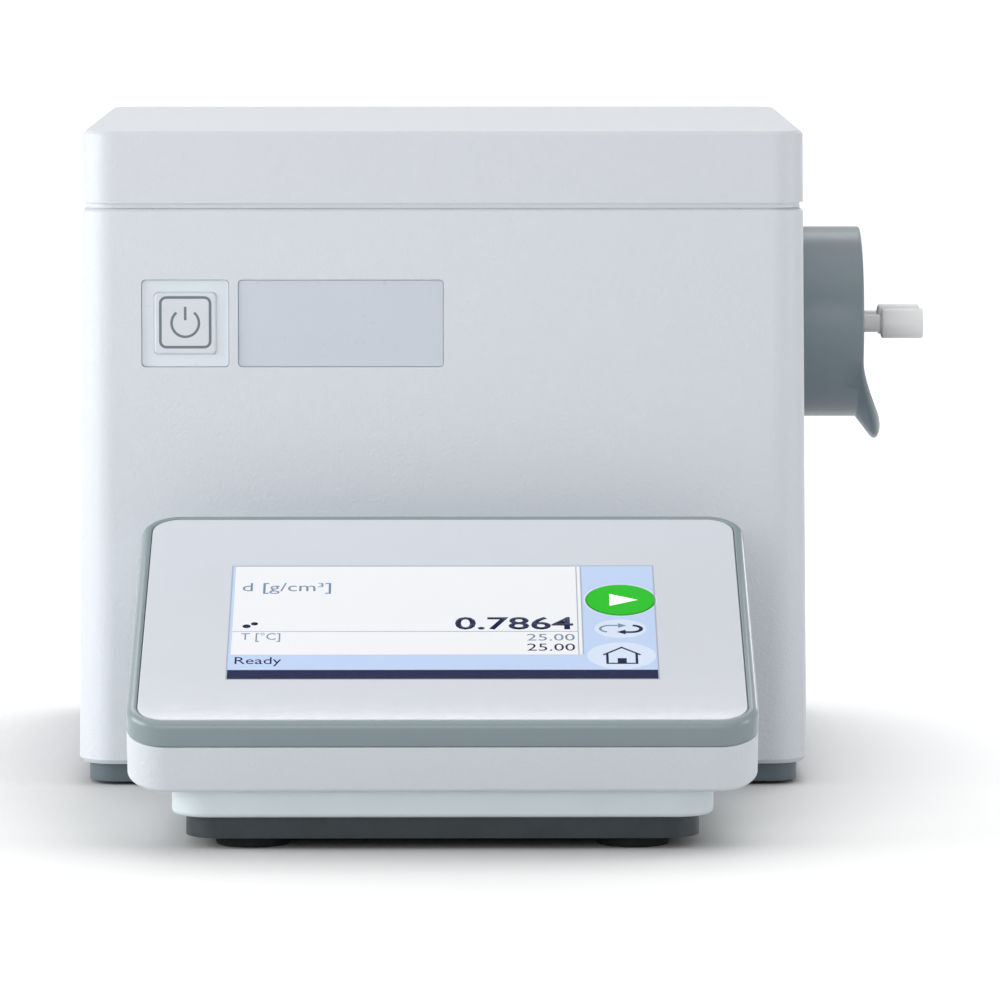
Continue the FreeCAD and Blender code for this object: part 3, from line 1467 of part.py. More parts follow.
board_corners = [
    (sx * (mm.terminal_board_width / 2 - mm.standoff_inset),
     mm.terminal_length / 2 + sy * (mm.terminal_board_length / 2 - mm.standoff_inset))
    for sx in SIDES
    for sy in SIDES
]
bezel_low = mm.tray_height + mm.bezel_gap
glass_low = mm.terminal_thickness - mm.glass_recess


def build_terminal():
    base = new_piece("terminal_base")
    front = wedge_front + mm.wedge_setback
    back = front + mm.wedge_depth
    middle = front + mm.wedge_depth / 2
    outline = rounded(mm.wedge_width, mm.wedge_depth, mm.wedge_radius, 0, middle)
    rise = tangent(mm.terminal_tilt)
    top = mm.terminal_underside + (back - wedge_front) * rise
    pad(base, "XY_Plane", [outline], support_high, top)
    chamfer_edges(base, mm.wedge_edge_chamfer, level_with(support_high))
    wall = mm.wedge_wall
    inner = rounded(
        mm.wedge_width - 2 * wall, mm.wedge_depth - 2 * wall, mm.wedge_radius - wall, 0, middle
    )
    pocket(base, "XY_Plane", [inner], support_high + wall, top)
    above = polygon(
        [
            (front - mm.overrun, mm.terminal_underside + (front - mm.overrun - wedge_front) * rise),
            (back + mm.overrun, mm.terminal_underside + (back + mm.overrun - wedge_front) * rise),
            (back + mm.overrun, top + mm.overrun),
            (front - mm.overrun, top + mm.overrun),
        ]
    )
    pocket(base, "YZ_Plane", [above], -mm.wedge_width / 2 - mm.overrun, mm.wedge_width / 2 + mm.overrun)

    tray = terminal_piece("terminal_tray")
    pad(tray, "XY_Plane", [slab(0)], ZERO, mm.tray_height)
    chamfer_edges(tray, mm.tray_edge_chamfer, level_with(ZERO))
    pocket(tray, "XY_Plane", [slab(mm.tray_wall)], mm.tray_wall, mm.tray_height)
    bosses = [hexagon(mm.standoff_across_flats, *place) for place in board_corners]
    pad(tray, "XY_Plane", bosses, mm.tray_wall, mm.tray_wall + mm.terminal_boss_height)

    bezel = terminal_piece("terminal_bezel")
    pad(bezel, "XY_Plane", [slab(0)], bezel_low, mm.terminal_thickness)
    chamfer_edges(bezel, mm.bezel_edge_chamfer, level_with(mm.terminal_thickness))
    skirt_inset = mm.tray_wall + mm.seat_gap
    ledge_inset = mm.bezel_rim + mm.bezel_ledge
    pad(bezel, "XY_Plane", [slab(skirt_inset)], bezel_low - mm.bezel_skirt, bezel_low)
    pocket(bezel, "XY_Plane", [slab(mm.bezel_rim)], glass_low, mm.terminal_thickness)
    pocket(bezel, "XY_Plane", [slab(ledge_inset)], bezel_low - mm.bezel_skirt, glass_low)

    glass = terminal_piece("fascia_glass")
    pad(glass, "XY_Plane", [slab(mm.bezel_rim + mm.glass_gap)], glass_low, glass_low + mm.glass_thickness)

    display = terminal_piece("display_module")
    half = mm.display_width / 2
    low_y, high_y = mm.display_centre - mm.display_height / 2, mm.display_centre + mm.display_height / 2
    outline = box_outline(-half, half, low_y, high_y)
    pad(display, "XY_Plane", [outline], glass_low - mm.display_thickness, glass_low)

    board = terminal_piece("terminal_board")
    half = mm.terminal_board_width / 2
    middle = mm.terminal_length / 2
    half_length = mm.terminal_board_length / 2
    seat = mm.tray_wall + mm.terminal_boss_height
    outline = box_outline(-half, half, middle - half_length, middle + half_length)
    pad(board, "XY_Plane", [outline], seat, seat + mm.board_thickness)


build_main_housing()
build_base_pan()
build_base_fittings()
build_lid()
build_hinge()
build_lid_pads()
build_top_deck()
build_window()
build_cartridge()
build_power_key()
build_front_plate()
build_port_collar()
build_port_plate()
build_adapters()
build_u_tube()
build_cell()
build_fan()
build_rear_panel()
build_fan_guard()
build_board()
build_sockets()
build_support()
build_terminal()
document.recompute()

for thing in document.Objects:
    if {"Invalid", "Error"} & set(thing.State):
        raise RuntimeError("%s (%s) did not build" % (thing.Label, thing.Name))
for piece in pieces:
    if piece.Shape.isNull() or not piece.Shape.isValid() or not piece.Shape.Solids:
        raise RuntimeError("%s has no valid solid" % piece.Label)

os.makedirs("parts", exist_ok=True)
for piece in pieces:
    piece.Shape.exportStep("parts/%s.step" % piece.Label)
    print(piece.Label, len(piece.Shape.Solids), round(piece.Shape.Volume))
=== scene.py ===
from math import cos, pi, radians, sin, sqrt, tau

import bmesh
import bpy
from mathutils import Matrix, Vector


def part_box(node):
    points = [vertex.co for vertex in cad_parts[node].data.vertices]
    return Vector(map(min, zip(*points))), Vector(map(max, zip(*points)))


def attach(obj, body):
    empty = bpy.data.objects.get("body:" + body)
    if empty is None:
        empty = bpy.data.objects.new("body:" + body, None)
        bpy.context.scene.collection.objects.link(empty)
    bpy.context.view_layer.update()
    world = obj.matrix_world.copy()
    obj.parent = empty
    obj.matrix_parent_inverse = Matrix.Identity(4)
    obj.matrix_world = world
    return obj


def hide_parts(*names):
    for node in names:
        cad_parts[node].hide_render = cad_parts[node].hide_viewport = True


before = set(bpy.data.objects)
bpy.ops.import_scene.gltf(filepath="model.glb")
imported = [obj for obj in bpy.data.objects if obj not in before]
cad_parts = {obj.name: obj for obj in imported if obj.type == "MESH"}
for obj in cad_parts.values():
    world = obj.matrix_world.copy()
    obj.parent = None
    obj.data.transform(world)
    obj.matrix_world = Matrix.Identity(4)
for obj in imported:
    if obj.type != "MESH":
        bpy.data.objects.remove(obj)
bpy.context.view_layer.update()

MM = 0.001


# The housing of the meter: one deep shell moulded in structural foam, with drafted sides, and
# painted in a fine textured white. It stands on the base pan and carries the collar in its
# right side and the key in its front.

def tint(red, green, blue):
    """A colour given as it looks on a screen, 0 to 255, turned into the light the shaders take."""
    parts = (red / 255, green / 255, blue / 255)
    return tuple(((part + 0.055) / 1.055) ** 2.4 if part > 0.04 else part / 12.92 for part in parts)


def new_finish(name, colour, roughness, metal=0.0):
    """A plain finish, before its grain."""
    finish = bpy.data.materials.new(name)
    finish.use_nodes = True
    shader = finish.node_tree.nodes["Principled BSDF"]
    shader.inputs["Base Color"].default_value = (*tint(*colour), 1)
    shader.inputs["Roughness"].default_value = roughness
    shader.inputs["Metallic"].default_value = metal
    return finish


def grain(finish, per_metre, detail=2.0, stretch=(1, 1, 1)):
    """Uneven spots, so many to the metre, fixed to the piece."""
    nodes, links = finish.node_tree.nodes, finish.node_tree.links
    place = nodes.new("ShaderNodeTexCoord")
    scale = nodes.new("ShaderNodeMapping")
    scale.inputs["Scale"].default_value = stretch
    spots = nodes.new("ShaderNodeTexNoise")
    spots.inputs["Scale"].default_value = per_metre
    spots.inputs["Detail"].default_value = detail
    links.new(place.outputs["Object"], scale.inputs["Vector"])
    links.new(scale.outputs["Vector"], spots.inputs["Vector"])
    return spots.outputs["Fac"]


def emboss(finish, spots, depth, strength=1.0):
    """Raises the spots of a grain by a depth in metres, on top of what is raised already."""
    nodes, links = finish.node_tree.nodes, finish.node_tree.links
    shader = nodes["Principled BSDF"]
    bump = nodes.new("ShaderNodeBump")
    bump.inputs["Distance"].default_value = depth
    bump.inputs["Strength"].default_value = strength
    if shader.inputs["Normal"].is_linked:
        links.new(shader.inputs["Normal"].links[0].from_socket, bump.inputs["Normal"])
    links.new(spots, bump.inputs["Height"])
    links.new(bump.outputs["Normal"], shader.inputs["Normal"])


def tone(finish, spots, dark, light, low=0.3, high=0.7):
    """Colours the spots of a grain from dark to light."""
    nodes, links = finish.node_tree.nodes, finish.node_tree.links
    ramp = nodes.new("ShaderNodeValToRGB")
    ramp.color_ramp.elements[0].position = low
    ramp.color_ramp.elements[0].color = (*tint(*dark), 1)
    ramp.color_ramp.elements[1].position = high
    ramp.color_ramp.elements[1].color = (*tint(*light), 1)
    links.new(spots, ramp.inputs["Fac"])
    links.new(ramp.outputs["Color"], nodes["Principled BSDF"].inputs["Base Color"])


def wear(finish, spots, low, high):
    """Lets the roughness follow the spots of a grain."""
    nodes, links = finish.node_tree.nodes, finish.node_tree.links
    span = nodes.new("ShaderNodeMapRange")
    span.inputs["From Min"].default_value = 0.3
    span.inputs["From Max"].default_value = 0.7
    span.inputs["To Min"].default_value = low
    span.inputs["To Max"].default_value = high
    links.new(spots, span.inputs["Value"])
    links.new(span.outputs["Result"], nodes["Principled BSDF"].inputs["Roughness"])


def knit_faces():
    """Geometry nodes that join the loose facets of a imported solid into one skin."""
    group = bpy.data.node_groups.new("knit_faces", "GeometryNodeTree")
    group.interface.new_socket("Geometry", in_out="INPUT", socket_type="NodeSocketGeometry")
    group.interface.new_socket("Geometry", in_out="OUTPUT", socket_type="NodeSocketGeometry")
    last = group.nodes.new("NodeGroupInput").outputs["Geometry"]
    merge = group.nodes.new("GeometryNodeMergeByDistance")
    merge.inputs["Distance"].default_value = 0.01 * MM
    steps = [merge]
    for kept in ("custom_normal", "sharp_edge", "sharp_face"):
        forget = group.nodes.new("GeometryNodeRemoveAttribute")
        forget.inputs["Name"].default_value = kept
        steps.append(forget)
    steps.append(group.nodes.new("GeometryNodeSetShadeSmooth"))
    for step in steps:
        group.links.new(last, step.inputs["Geometry"])
        last = step.outputs["Geometry"]
    group.links.new(last, group.nodes.new("NodeGroupOutput").inputs["Geometry"])
    return group


KNIT = knit_faces()


def soften(piece, width, segments=2, sharpest=25):
    """Rounds the edges of a piece by a width in mm, as paint, moulding or deburring leaves them."""
    piece.modifiers.new("knit", "NODES").node_group = KNIT
    flat = piece.modifiers.new("flat", "DECIMATE")
    flat.decimate_type = "DISSOLVE"
    flat.angle_limit = radians(0.5)
    edge = piece.modifiers.new("edge", "BEVEL")
    edge.width = width * MM
    edge.segments = segments
    edge.limit_method = "ANGLE"
    edge.angle_limit = radians(sharpest)
    edge.miter_outer = "MITER_ARC"
    piece.modifiers.new("shade", "WEIGHTED_NORMAL").weight = 80


def dress(finish, *names, round_over=None):
    """Gives CAD nodes their finish, and rounds their edges where the real ones are."""
    for name in names:
        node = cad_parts[name]
        for place in node.material_slots:
            place.material = finish
        if round_over:
            soften(node, round_over)


def painted(name, colour, peel=0.12, roughness=0.42):
    """Textured paint: grains of about a millimetre over slow waves."""
    paint = new_finish(name, colour, roughness)
    emboss(paint, grain(paint, 850, 2.0), peel * MM)
    emboss(paint, grain(paint, 90, 2.0), 0.05 * MM)
    wear(paint, grain(paint, 300), roughness - 0.05, roughness + 0.08)
    return paint


shell_paint = painted("shell_paint", (226, 231, 238), peel=0.19)
dress(shell_paint, "main_housing", round_over=0.5)


# The base pan: a die cast tray in slate paint, screwed up into the housing from below, with
# four moulded rubber feet under its corners.

def satin(name, colour, roughness, speck=1400, depth=0.012, metal=0.0, sway=10, rub=0.06):
    """A moulded or cast surface with a fine spark eroded grain, a little uneven in colour and gloss."""
    finish = new_finish(name, colour, roughness, metal)
    emboss(finish, grain(finish, speck, 2.0), depth * MM)
    darker = tuple(max(part - sway, 0) for part in colour)
    tone(finish, grain(finish, 60, 3.0), darker, colour)
    wear(finish, grain(finish, 400), roughness - rub, roughness + rub)
    return finish


slate_paint = satin("slate_paint", (96, 110, 118), 0.45)
foot_rubber = satin("foot_rubber", (9, 10, 11), 0.85, speck=2200, depth=0.02, sway=4)
dress(slate_paint, "base_pan", round_over=0.4)
dress(foot_rubber, "housing_feet", round_over=0.6)


# Screws: zinc plated steel with hexagon heads, cold headed and then plated, so faint lines of
# the tool show on them. They hold the pan, deck, fan, panels and plates.

def plated(name, colour, roughness, stretch=(1, 1, 30)):
    """A bright plated or brushed metal with its machining lines along one direction."""
    metal = new_finish(name, colour, roughness, 1.0)
    emboss(metal, grain(metal, 300, 4.0, stretch), 0.004 * MM)
    wear(metal, grain(metal, 120, 3.0, stretch), roughness - 0.08, roughness + 0.1)
    return metal


screw_steel = plated("screw_steel", (196, 198, 200), 0.3)
dress(screw_steel, "base_screws", "deck_screws", "fan_screws", "panel_screws", "support_screws",
      "terminal_screws")


# The lid: a second moulded shell in the same paint, which closes over the deck. Two pins at its
# rear edge turn in steel brackets, and felt pads meet its rim.

lid_paint = painted("lid_paint", (225, 229, 235), peel=0.19)
hinge_steel = plated("hinge_steel", (176, 180, 184), 0.28, (30, 1, 1))
pad_felt = satin("pad_felt", (60, 64, 68), 0.95, speck=900, depth=0.15)
dress(lid_paint, "lid", round_over=0.45)
dress(hinge_steel, "hinge_pins", "hinge_brackets", round_over=0.2)
dress(pad_felt, "lid_pads")


# The deck under the lid: a moulded tray in grey, with a glass window over the cell and a
# trough for the drying cartridge.

deck_paint = painted("deck_paint", (150, 156, 162), peel=0.04)
frame_plastic = satin("frame_plastic", (96, 103, 110), 0.45)
dress(deck_paint, "top_deck", round_over=0.3)
dress(frame_plastic, "window_frame", round_over=0.3)


def setting(finish, name, value):
    """Sets one value of a finish."""
    finish.node_tree.nodes["Principled BSDF"].inputs[name].default_value = value


def clear(name, colour, roughness=0.02, index=1.5):
    """Clear glass or plastic."""
    glass = new_finish(name, colour, roughness)
    setting(glass, "Transmission Weight", 1.0)
    setting(glass, "IOR", index)
    wear(glass, grain(glass, 40, 2.0), roughness, roughness + 0.03)
    return glass


window_glass = clear("window_glass", (236, 242, 243))
dress(window_glass, "cell_window", round_over=0.3)


# The power key: a moulded surround pressed into a square recess, a key that moves in it, and
# behind them a small tactile switch on its own board.

key_plastic = satin("key_plastic", (228, 233, 240), 0.33, depth=0.008, sway=3)
surround_plastic = satin("surround_plastic", (233, 241, 249), 0.33, depth=0.008, sway=3)
switch_plastic = satin("switch_plastic", (28, 29, 31), 0.5)
board_lacquer = satin("board_lacquer", (32, 92, 60), 0.35, speck=500, depth=0.01)
dress(key_plastic, "power_key", round_over=0.35)
dress(surround_plastic, "key_surround", round_over=0.25)
dress(switch_plastic, "switch_plunger", "power_switch")
dress(board_lacquer, "key_board", "main_board", "terminal_board")


def add_piece(name, shape, finish, body):
    """Makes a piece of a bmesh that is already in place, and lets it ride on a body."""
    bmesh.ops.recalc_face_normals(shape, faces=shape.faces)
    mesh = bpy.data.meshes.new(name)
    shape.to_mesh(mesh)
    shape.free()
    mesh.materials.append(finish)
    piece = bpy.data.objects.new(name, mesh)
    bpy.context.scene.collection.objects.link(piece)
    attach(piece, body)
    return piece


def plate(shape, outline, place, low, high):
    """A thin plate with that outline, between two heights over a face."""
    under = [shape.verts.new(place(a, b, low)) for a, b in outline]
    over = [shape.verts.new(place(a, b, high)) for a, b in outline]
    shape.faces.new(over)
    shape.faces.new(under[::-1])
    for i in range(len(outline)):
        shape.faces.new((under[i - 1], under[i], over[i], over[i - 1]))


MITRE_LIMIT = 0.3


def line(shape, path, width, place, low, high, closed=False):
    """A printed line of that width along a path, with mitred corners."""
    left, right = [], []
    count = len(path)
    for i in range(count):
        here = Vector(path[i])
        back = Vector(path[i - 1]) if closed or i else None
        on = Vector(path[(i + 1) % count]) if closed or i < count - 1 else None
        ways = [(here - back).normalized()] if back else []
        if on:
            ways.append((on - here).normalized())
        sides = [Vector((-way.y, way.x)) for way in ways]
        side = sum(sides, Vector((0, 0))).normalized()
        reach = width / 2 / max(side.dot(sides[0]), MITRE_LIMIT)
        left.append(here + side * reach)
        right.append(here - side * reach)
    rows = [[shape.verts.new(place(p.x, p.y, h)) for p in rail] for rail, h in
            ((left, low), (right, low), (right, high), (left, high))]
    for i in range(count if closed else count - 1):
        j = (i + 1) % count
        for k in range(4):
            shape.faces.new((rows[k][i], rows[k][j], rows[(k + 1) % 4][j], rows[(k + 1) % 4][i]))
    if not closed:
        shape.faces.new([row[0] for row in rows])
        shape.faces.new([row[-1] for row in rows][::-1])


def arc(x, y, radius, start, end, count=40, flat=1.0):
    """Points round a centre from one angle to another, in degrees."""
    angles = [radians(start + (end - start) * i / count) for i in range(count + 1)]
    return [(x + radius * cos(angle), y + radius * flat * sin(angle)) for angle in angles]


def rounded_square(x, y, side, radius):
    """The outline of a square with round corners."""
    half = side / 2 - radius
    points = []
    for turn, (across, up) in enumerate(((1, 1), (-1, 1), (-1, -1), (1, -1))):
        points += arc(x + across * half, y + up * half, radius, 90 * turn, 90 * turn + 90, 6)
    return points


key_low, key_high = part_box("power_key")
key_centre = (key_low + key_high) / 2
KEY_FACE = key_low.y


def on_key(across, up, out):
    """A point on the key's face, in mm from its middle."""
    return Vector((key_centre.x + across * MM, KEY_FACE - out * MM, key_centre.z + up * MM))


key_ink = satin("key_ink", (112, 125, 136), 0.4, sway=4)
INK_SUNK = -0.05
INK_RAISED = 0.03
MARK_RISE = 0.45
MARK_SIDE = 18.5
MARK_CORNER = 2.2
MARK_LINE = 1.0
SIGN_RADIUS = 5.1
SIGN_DROP = 0.3
SIGN_LINE = 0.95
SIGN_TOP = 5.8
SIGN_FOOT = 0.8
mark = bmesh.new()
line(mark, rounded_square(0, MARK_RISE, MARK_SIDE, MARK_CORNER), MARK_LINE, on_key, INK_SUNK, INK_RAISED,
     closed=True)
line(mark, arc(0, MARK_RISE - SIGN_DROP, SIGN_RADIUS, 130, 410), SIGN_LINE, on_key, INK_SUNK, INK_RAISED)
line(mark, [(0, MARK_RISE + SIGN_TOP), (0, MARK_RISE + SIGN_FOOT)], SIGN_LINE, on_key, INK_SUNK, INK_RAISED)
add_piece("key_mark", mark, key_ink, "power_key")

KEY_HOLE = 23.3
KEY_SIDE = 22.8
KEY_CORNER = 1.6
KEY_PROUD = 0.9
SLIDE_GAP = 0.02
SKIRT_DEPTH = 0.9
SKIRT_RISE = 0.04
skirt = bmesh.new()
line(skirt, rounded_square(0, 0, (KEY_HOLE + KEY_SIDE) / 2, KEY_CORNER),
     (KEY_HOLE - KEY_SIDE) / 2 - 2 * SLIDE_GAP, on_key, -KEY_PROUD - SKIRT_DEPTH, -KEY_PROUD + SKIRT_RISE,
     closed=True)
add_piece("key_skirt", skirt, key_plastic, "power_key")


# The joint under the lid: a strip of pale rubber lies on the rim of the housing, set back from
# its edge, and keeps dust out along the front and the sides.

lid_low, lid_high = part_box("lid")
shell_low, shell_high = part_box("main_housing")
RIM_TOP = shell_high.z / MM
STRIP_INSET = 1.75
STRIP_WIDTH = 1.0
STRIP_HEIGHT = 0.6
STRIP_END = 35
STRIP_CORNER = 12


def on_rim(x, y, height):
    """A point over the rim of the housing, in mm."""
    return Vector((x, y, RIM_TOP + height)) * MM


strip_rubber = satin("strip_rubber", (214, 218, 223), 0.6, speck=1800, depth=0.01, sway=3)
left, right = lid_low.x / MM + STRIP_INSET, lid_high.x / MM - STRIP_INSET
front, back = lid_low.y / MM + STRIP_INSET, lid_high.y / MM - STRIP_END
path = [(left, back)] + arc(left + STRIP_CORNER, front + STRIP_CORNER, STRIP_CORNER, 180, 270, 10)
path += arc(right - STRIP_CORNER, front + STRIP_CORNER, STRIP_CORNER, 270, 360, 10) + [(right, back)]
strip = bmesh.new()
line(strip, path, STRIP_WIDTH, on_rim, 0.0, STRIP_HEIGHT)
add_piece("rim_strip", strip, strip_rubber, "instrument")


# The plate beside the key: a pale moulded strip, glued into a shallow recess of the front and
# flush with it. It is left bare.

plate_plastic = satin("plate_plastic", (212, 220, 230), 0.33, speck=1100, depth=0.006, sway=1)
dress(plate_plastic, "front_plate", round_over=0.3)


# The collar of the filling port: one moulding in grey plastic, pushed through the side wall from
# inside. Its end is domed, its rim rounded, and at the bottom it flares into a drip lip.

def mix(near, far, share):
    """A value between two others, or a point between two points."""
    if isinstance(near, tuple):
        return tuple(mix(a, b, share) for a, b in zip(near, far))
    return near + (far - near) * share


def bow(start, pull, end, count):
    """Points along a curve that starts towards a pulling point and ends away from it, without its start."""
    points = []
    for step in range(1, count + 1):
        share = step / count
        points.append(mix(mix(start, pull, share), mix(pull, end, share), share))
    return points


collar_low, collar_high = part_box("port_collar")
plate_low, plate_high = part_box("port_plate")
PORT_Y = (plate_low.y + plate_high.y) / 2 / MM
PORT_Z = (plate_low.z + plate_high.z) / 2 / MM
COLLAR_START = collar_low.x / MM
FLANGE_RADIUS = (collar_high.y - collar_low.y) / 2 / MM
COLLAR_RADIUS = 36.75
COLLAR_WALL = 3.0
FLANGE_END = COLLAR_START + COLLAR_WALL
SHOULDER_END = plate_low.x / MM
SHOULDER_RADIUS = 29.95
COLLAR_END = 136.4
LIP_OUT = 7.6
LIP_DOWN = 8.8
LIP_CREASE = 134.7
LIP_SPREAD = 70
LIP_FLAT = 0.2
LIP_TURNS = 144
LIP_SWELL = 1.4
RIM_ROUND = 1.2
RIM_DEPTH = 3.0
FLARE_DEPTH = 3.3
NOSE_BACK = 0.5
NOSE_DROP = 1.5
LIP_BACK = 0.3
LIP_DEPTH = 7.1
MOUTH_DEPTH = 2.4
BORE_START = SHOULDER_END + 10
BODY_STEPS = 4
CURVE_STEPS = 5
MOUTH_STEPS = 9


def collar_section(turn):
    """The collar's section at an angle from its lowest point: distances along and from its axis."""
    end = COLLAR_END
    from_low = abs((turn + pi) % tau - pi) / radians(LIP_SPREAD)
    fall = min(max((from_low - LIP_FLAT) / (1 - LIP_FLAT), 0), 1)
    out = 1 - fall * fall * (3 - 2 * fall)
    down = out ** LIP_SWELL
    bore = COLLAR_RADIUS - COLLAR_WALL
    tip = end + LIP_OUT * out
    reach = COLLAR_RADIUS + LIP_DOWN * down
    crease = (mix(end - RIM_ROUND, LIP_CREASE, out), COLLAR_RADIUS)
    flare = (tip - mix(RIM_ROUND, FLARE_DEPTH, out), reach - mix(0.0, 1.0, down))
    flare_pull = (tip - NOSE_DROP * out, reach + NOSE_DROP / 2 * down)
    nose = (tip - NOSE_BACK * out, reach - NOSE_DROP)
    nose_pull = (tip + 0.4 * out, reach - mix(RIM_DEPTH, 3.7, down))
    lip = (tip - mix(RIM_ROUND, LIP_BACK, out), reach - mix(RIM_DEPTH, LIP_DEPTH, down))
    lip_pull = (mix(end - RIM_DEPTH, tip - MOUTH_DEPTH, out), bore)
    root = (FLANGE_END, COLLAR_RADIUS)
    points = [(COLLAR_START, FLANGE_RADIUS), (FLANGE_END, FLANGE_RADIUS), root]
    points += [mix(root, crease, step / BODY_STEPS) for step in range(1, BODY_STEPS + 1)]
    points += [mix(crease, flare, step / CURVE_STEPS) for step in range(1, CURVE_STEPS + 1)]
    points += bow(flare, flare_pull, nose, CURVE_STEPS)
    points += bow(nose, nose_pull, lip, CURVE_STEPS)
    points += bow(lip, lip_pull, (BORE_START, bore), MOUTH_STEPS)
    points += [(SHOULDER_END, bore), (SHOULDER_END, SHOULDER_RADIUS), (COLLAR_START, SHOULDER_RADIUS)]
    return points


def turned(shape, section, turns, place):
    """A skin turned about an axis, of sections that may differ with the angle."""
    rings = []
    for i in range(turns):
        turn = tau * i / turns
        rings.append([shape.verts.new(place(along, out, turn)) for along, out in section(turn)])
    for i in range(turns):
        for j in range(len(rings[0])):
            shape.faces.new((rings[i - 1][j - 1], rings[i - 1][j], rings[i][j], rings[i][j - 1]))


def on_port(along, out, turn):
    """A point round the port's axis; the angle starts at the bottom."""
    return Vector((along, PORT_Y + out * sin(turn), PORT_Z - out * cos(turn))) * MM


def smooth(piece, sharpest=38):
    """Smooth shading, but for edges that fold more than so many degrees."""
    mesh = piece.data
    mesh.shade_smooth()
    mesh.set_sharp_from_angle(angle=radians(sharpest))


collar_plastic = satin("collar_plastic", (106, 122, 131), 0.34, speck=1200, depth=0.0015, sway=2, rub=0.015)
setting(collar_plastic, "Specular IOR Level", 0.9)
collar = bmesh.new()
turned(collar, collar_section, LIP_TURNS, on_port)
bmesh.ops.remove_doubles(collar, verts=collar.verts, dist=0.001 * MM)
collar_piece = add_piece("collar", collar, collar_plastic, "instrument")
smooth(collar_piece)
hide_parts("port_collar")


# The black plate in the collar, and through it two white fittings turned from fluoropolymer,
# which take the tips of syringes and hoses. They stand on a rubber gasket.

port_plastic = satin("port_plastic", (34, 36, 39), 0.5)
adapter_plastic = satin("adapter_plastic", (250, 251, 252), 0.35, speck=700, depth=0.01, sway=5)
setting(adapter_plastic, "Subsurface Weight", 0.25)
setting(adapter_plastic, "Subsurface Radius", (4 * MM, 4 * MM, 4 * MM))
setting(adapter_plastic, "Subsurface Scale", 1.0)
dress(port_plastic, "port_plate", round_over=0.3)
dress(foot_rubber, "adapter_seals")

STEM_START = 111.25
STEM_RADIUS = 4.0
STEM_BORE = 2.3
SHOULDER_BACK = 122.75
SHOULDER_FRONT = 125.25
SHOULDER_OUT = 7.5
NECK_START = 126.05
NECK_RADIUS = 3.4
HEAD_RADIUS = 5.8
HEAD_START = 143.9
HEAD_END = 160.2
LUER_BOTTOM = 152.25
LUER_RADIUS = 2.0
LUER_MOUTH = 2.6
CHANNEL_RADIUS = 1.0
CHANNEL_START = 121.05
BREAK = 0.3
FITTING = [
    (STEM_START, STEM_BORE), (STEM_START, STEM_RADIUS - 0.4), (STEM_START + 0.4, STEM_RADIUS),
    (SHOULDER_BACK, STEM_RADIUS), (SHOULDER_BACK, SHOULDER_OUT - BREAK),
    (SHOULDER_BACK + BREAK, SHOULDER_OUT), (SHOULDER_FRONT - BREAK, SHOULDER_OUT),
    (SHOULDER_FRONT, SHOULDER_OUT - BREAK),
    (SHOULDER_FRONT, STEM_RADIUS + BREAK), (NECK_START, NECK_RADIUS), (HEAD_START - BREAK, NECK_RADIUS),
    (HEAD_START, NECK_RADIUS + BREAK), (HEAD_START + 0.2, 4.9), (HEAD_START + 0.6, 5.6),
    (HEAD_START + 1.0, HEAD_RADIUS), (HEAD_END - 0.4, HEAD_RADIUS), (HEAD_END - 0.1, 5.65),
    (HEAD_END, 5.3), (HEAD_END, LUER_MOUTH), (HEAD_END - 0.4, LUER_MOUTH - 0.4), (LUER_BOTTOM, LUER_RADIUS),
    (LUER_BOTTOM, CHANNEL_RADIUS), (CHANNEL_START, CHANNEL_RADIUS), (CHANNEL_START, STEM_BORE)]


def add_fitting(name, node):
    """A turned fitting in the place of one of the port's adapters."""
    low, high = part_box(node)
    middle = (low.y + high.y) / 2

    def place(along, out, turn):
        return Vector((along * MM, middle + out * MM * sin(turn), PORT_Z * MM - out * MM * cos(turn)))

    shape = bmesh.new()
    turned(shape, lambda turn: FITTING, 48, place)
    piece = add_piece(name, shape, adapter_plastic, "instrument")
    smooth(piece)
    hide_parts(node)


add_fitting("inlet_fitting", "inlet_adapter")
add_fitting("outlet_fitting", "outlet_adapter")


# The measuring cell: a glass U tube cast in an aluminium block, foam round it, two cooling
# elements and a finned sink under it, on steel posts.

tube_glass = clear("tube_glass", (232, 240, 240))
TUBE_RADIUS = 1.95
TUBE_BORE = 1.25
TUBE_START = 115.25
TUBE_BEND = 43.25
TUBE_SPREAD = 12.0
TUBE_LEG = 20
TUBE_SIDES = 20
BEND_STEPS = 24
path = [(TUBE_START, -TUBE_SPREAD), (TUBE_BEND + TUBE_LEG, -TUBE_SPREAD)]
path += arc(TUBE_BEND, 0, TUBE_SPREAD, 270, 90, BEND_STEPS)
path += [(TUBE_BEND + TUBE_LEG, TUBE_SPREAD), (TUBE_START, TUBE_SPREAD)]
ways = [(0, 1)] * 2 + arc(0, 0, 1, 90, -90, BEND_STEPS) + [(0, -1)] * 2


def tube_ring(shape, middle, way, radius):
    """A ring of the glass tube, square to its run."""
    ring = []
    for k in range(TUBE_SIDES):
        turn = tau * k / TUBE_SIDES
        side = radius * cos(turn)
        point = (middle[0] + way[0] * side, PORT_Y + middle[1] + way[1] * side, PORT_Z + radius * sin(turn))
        ring.append(shape.verts.new(Vector(point) * MM))
    return ring


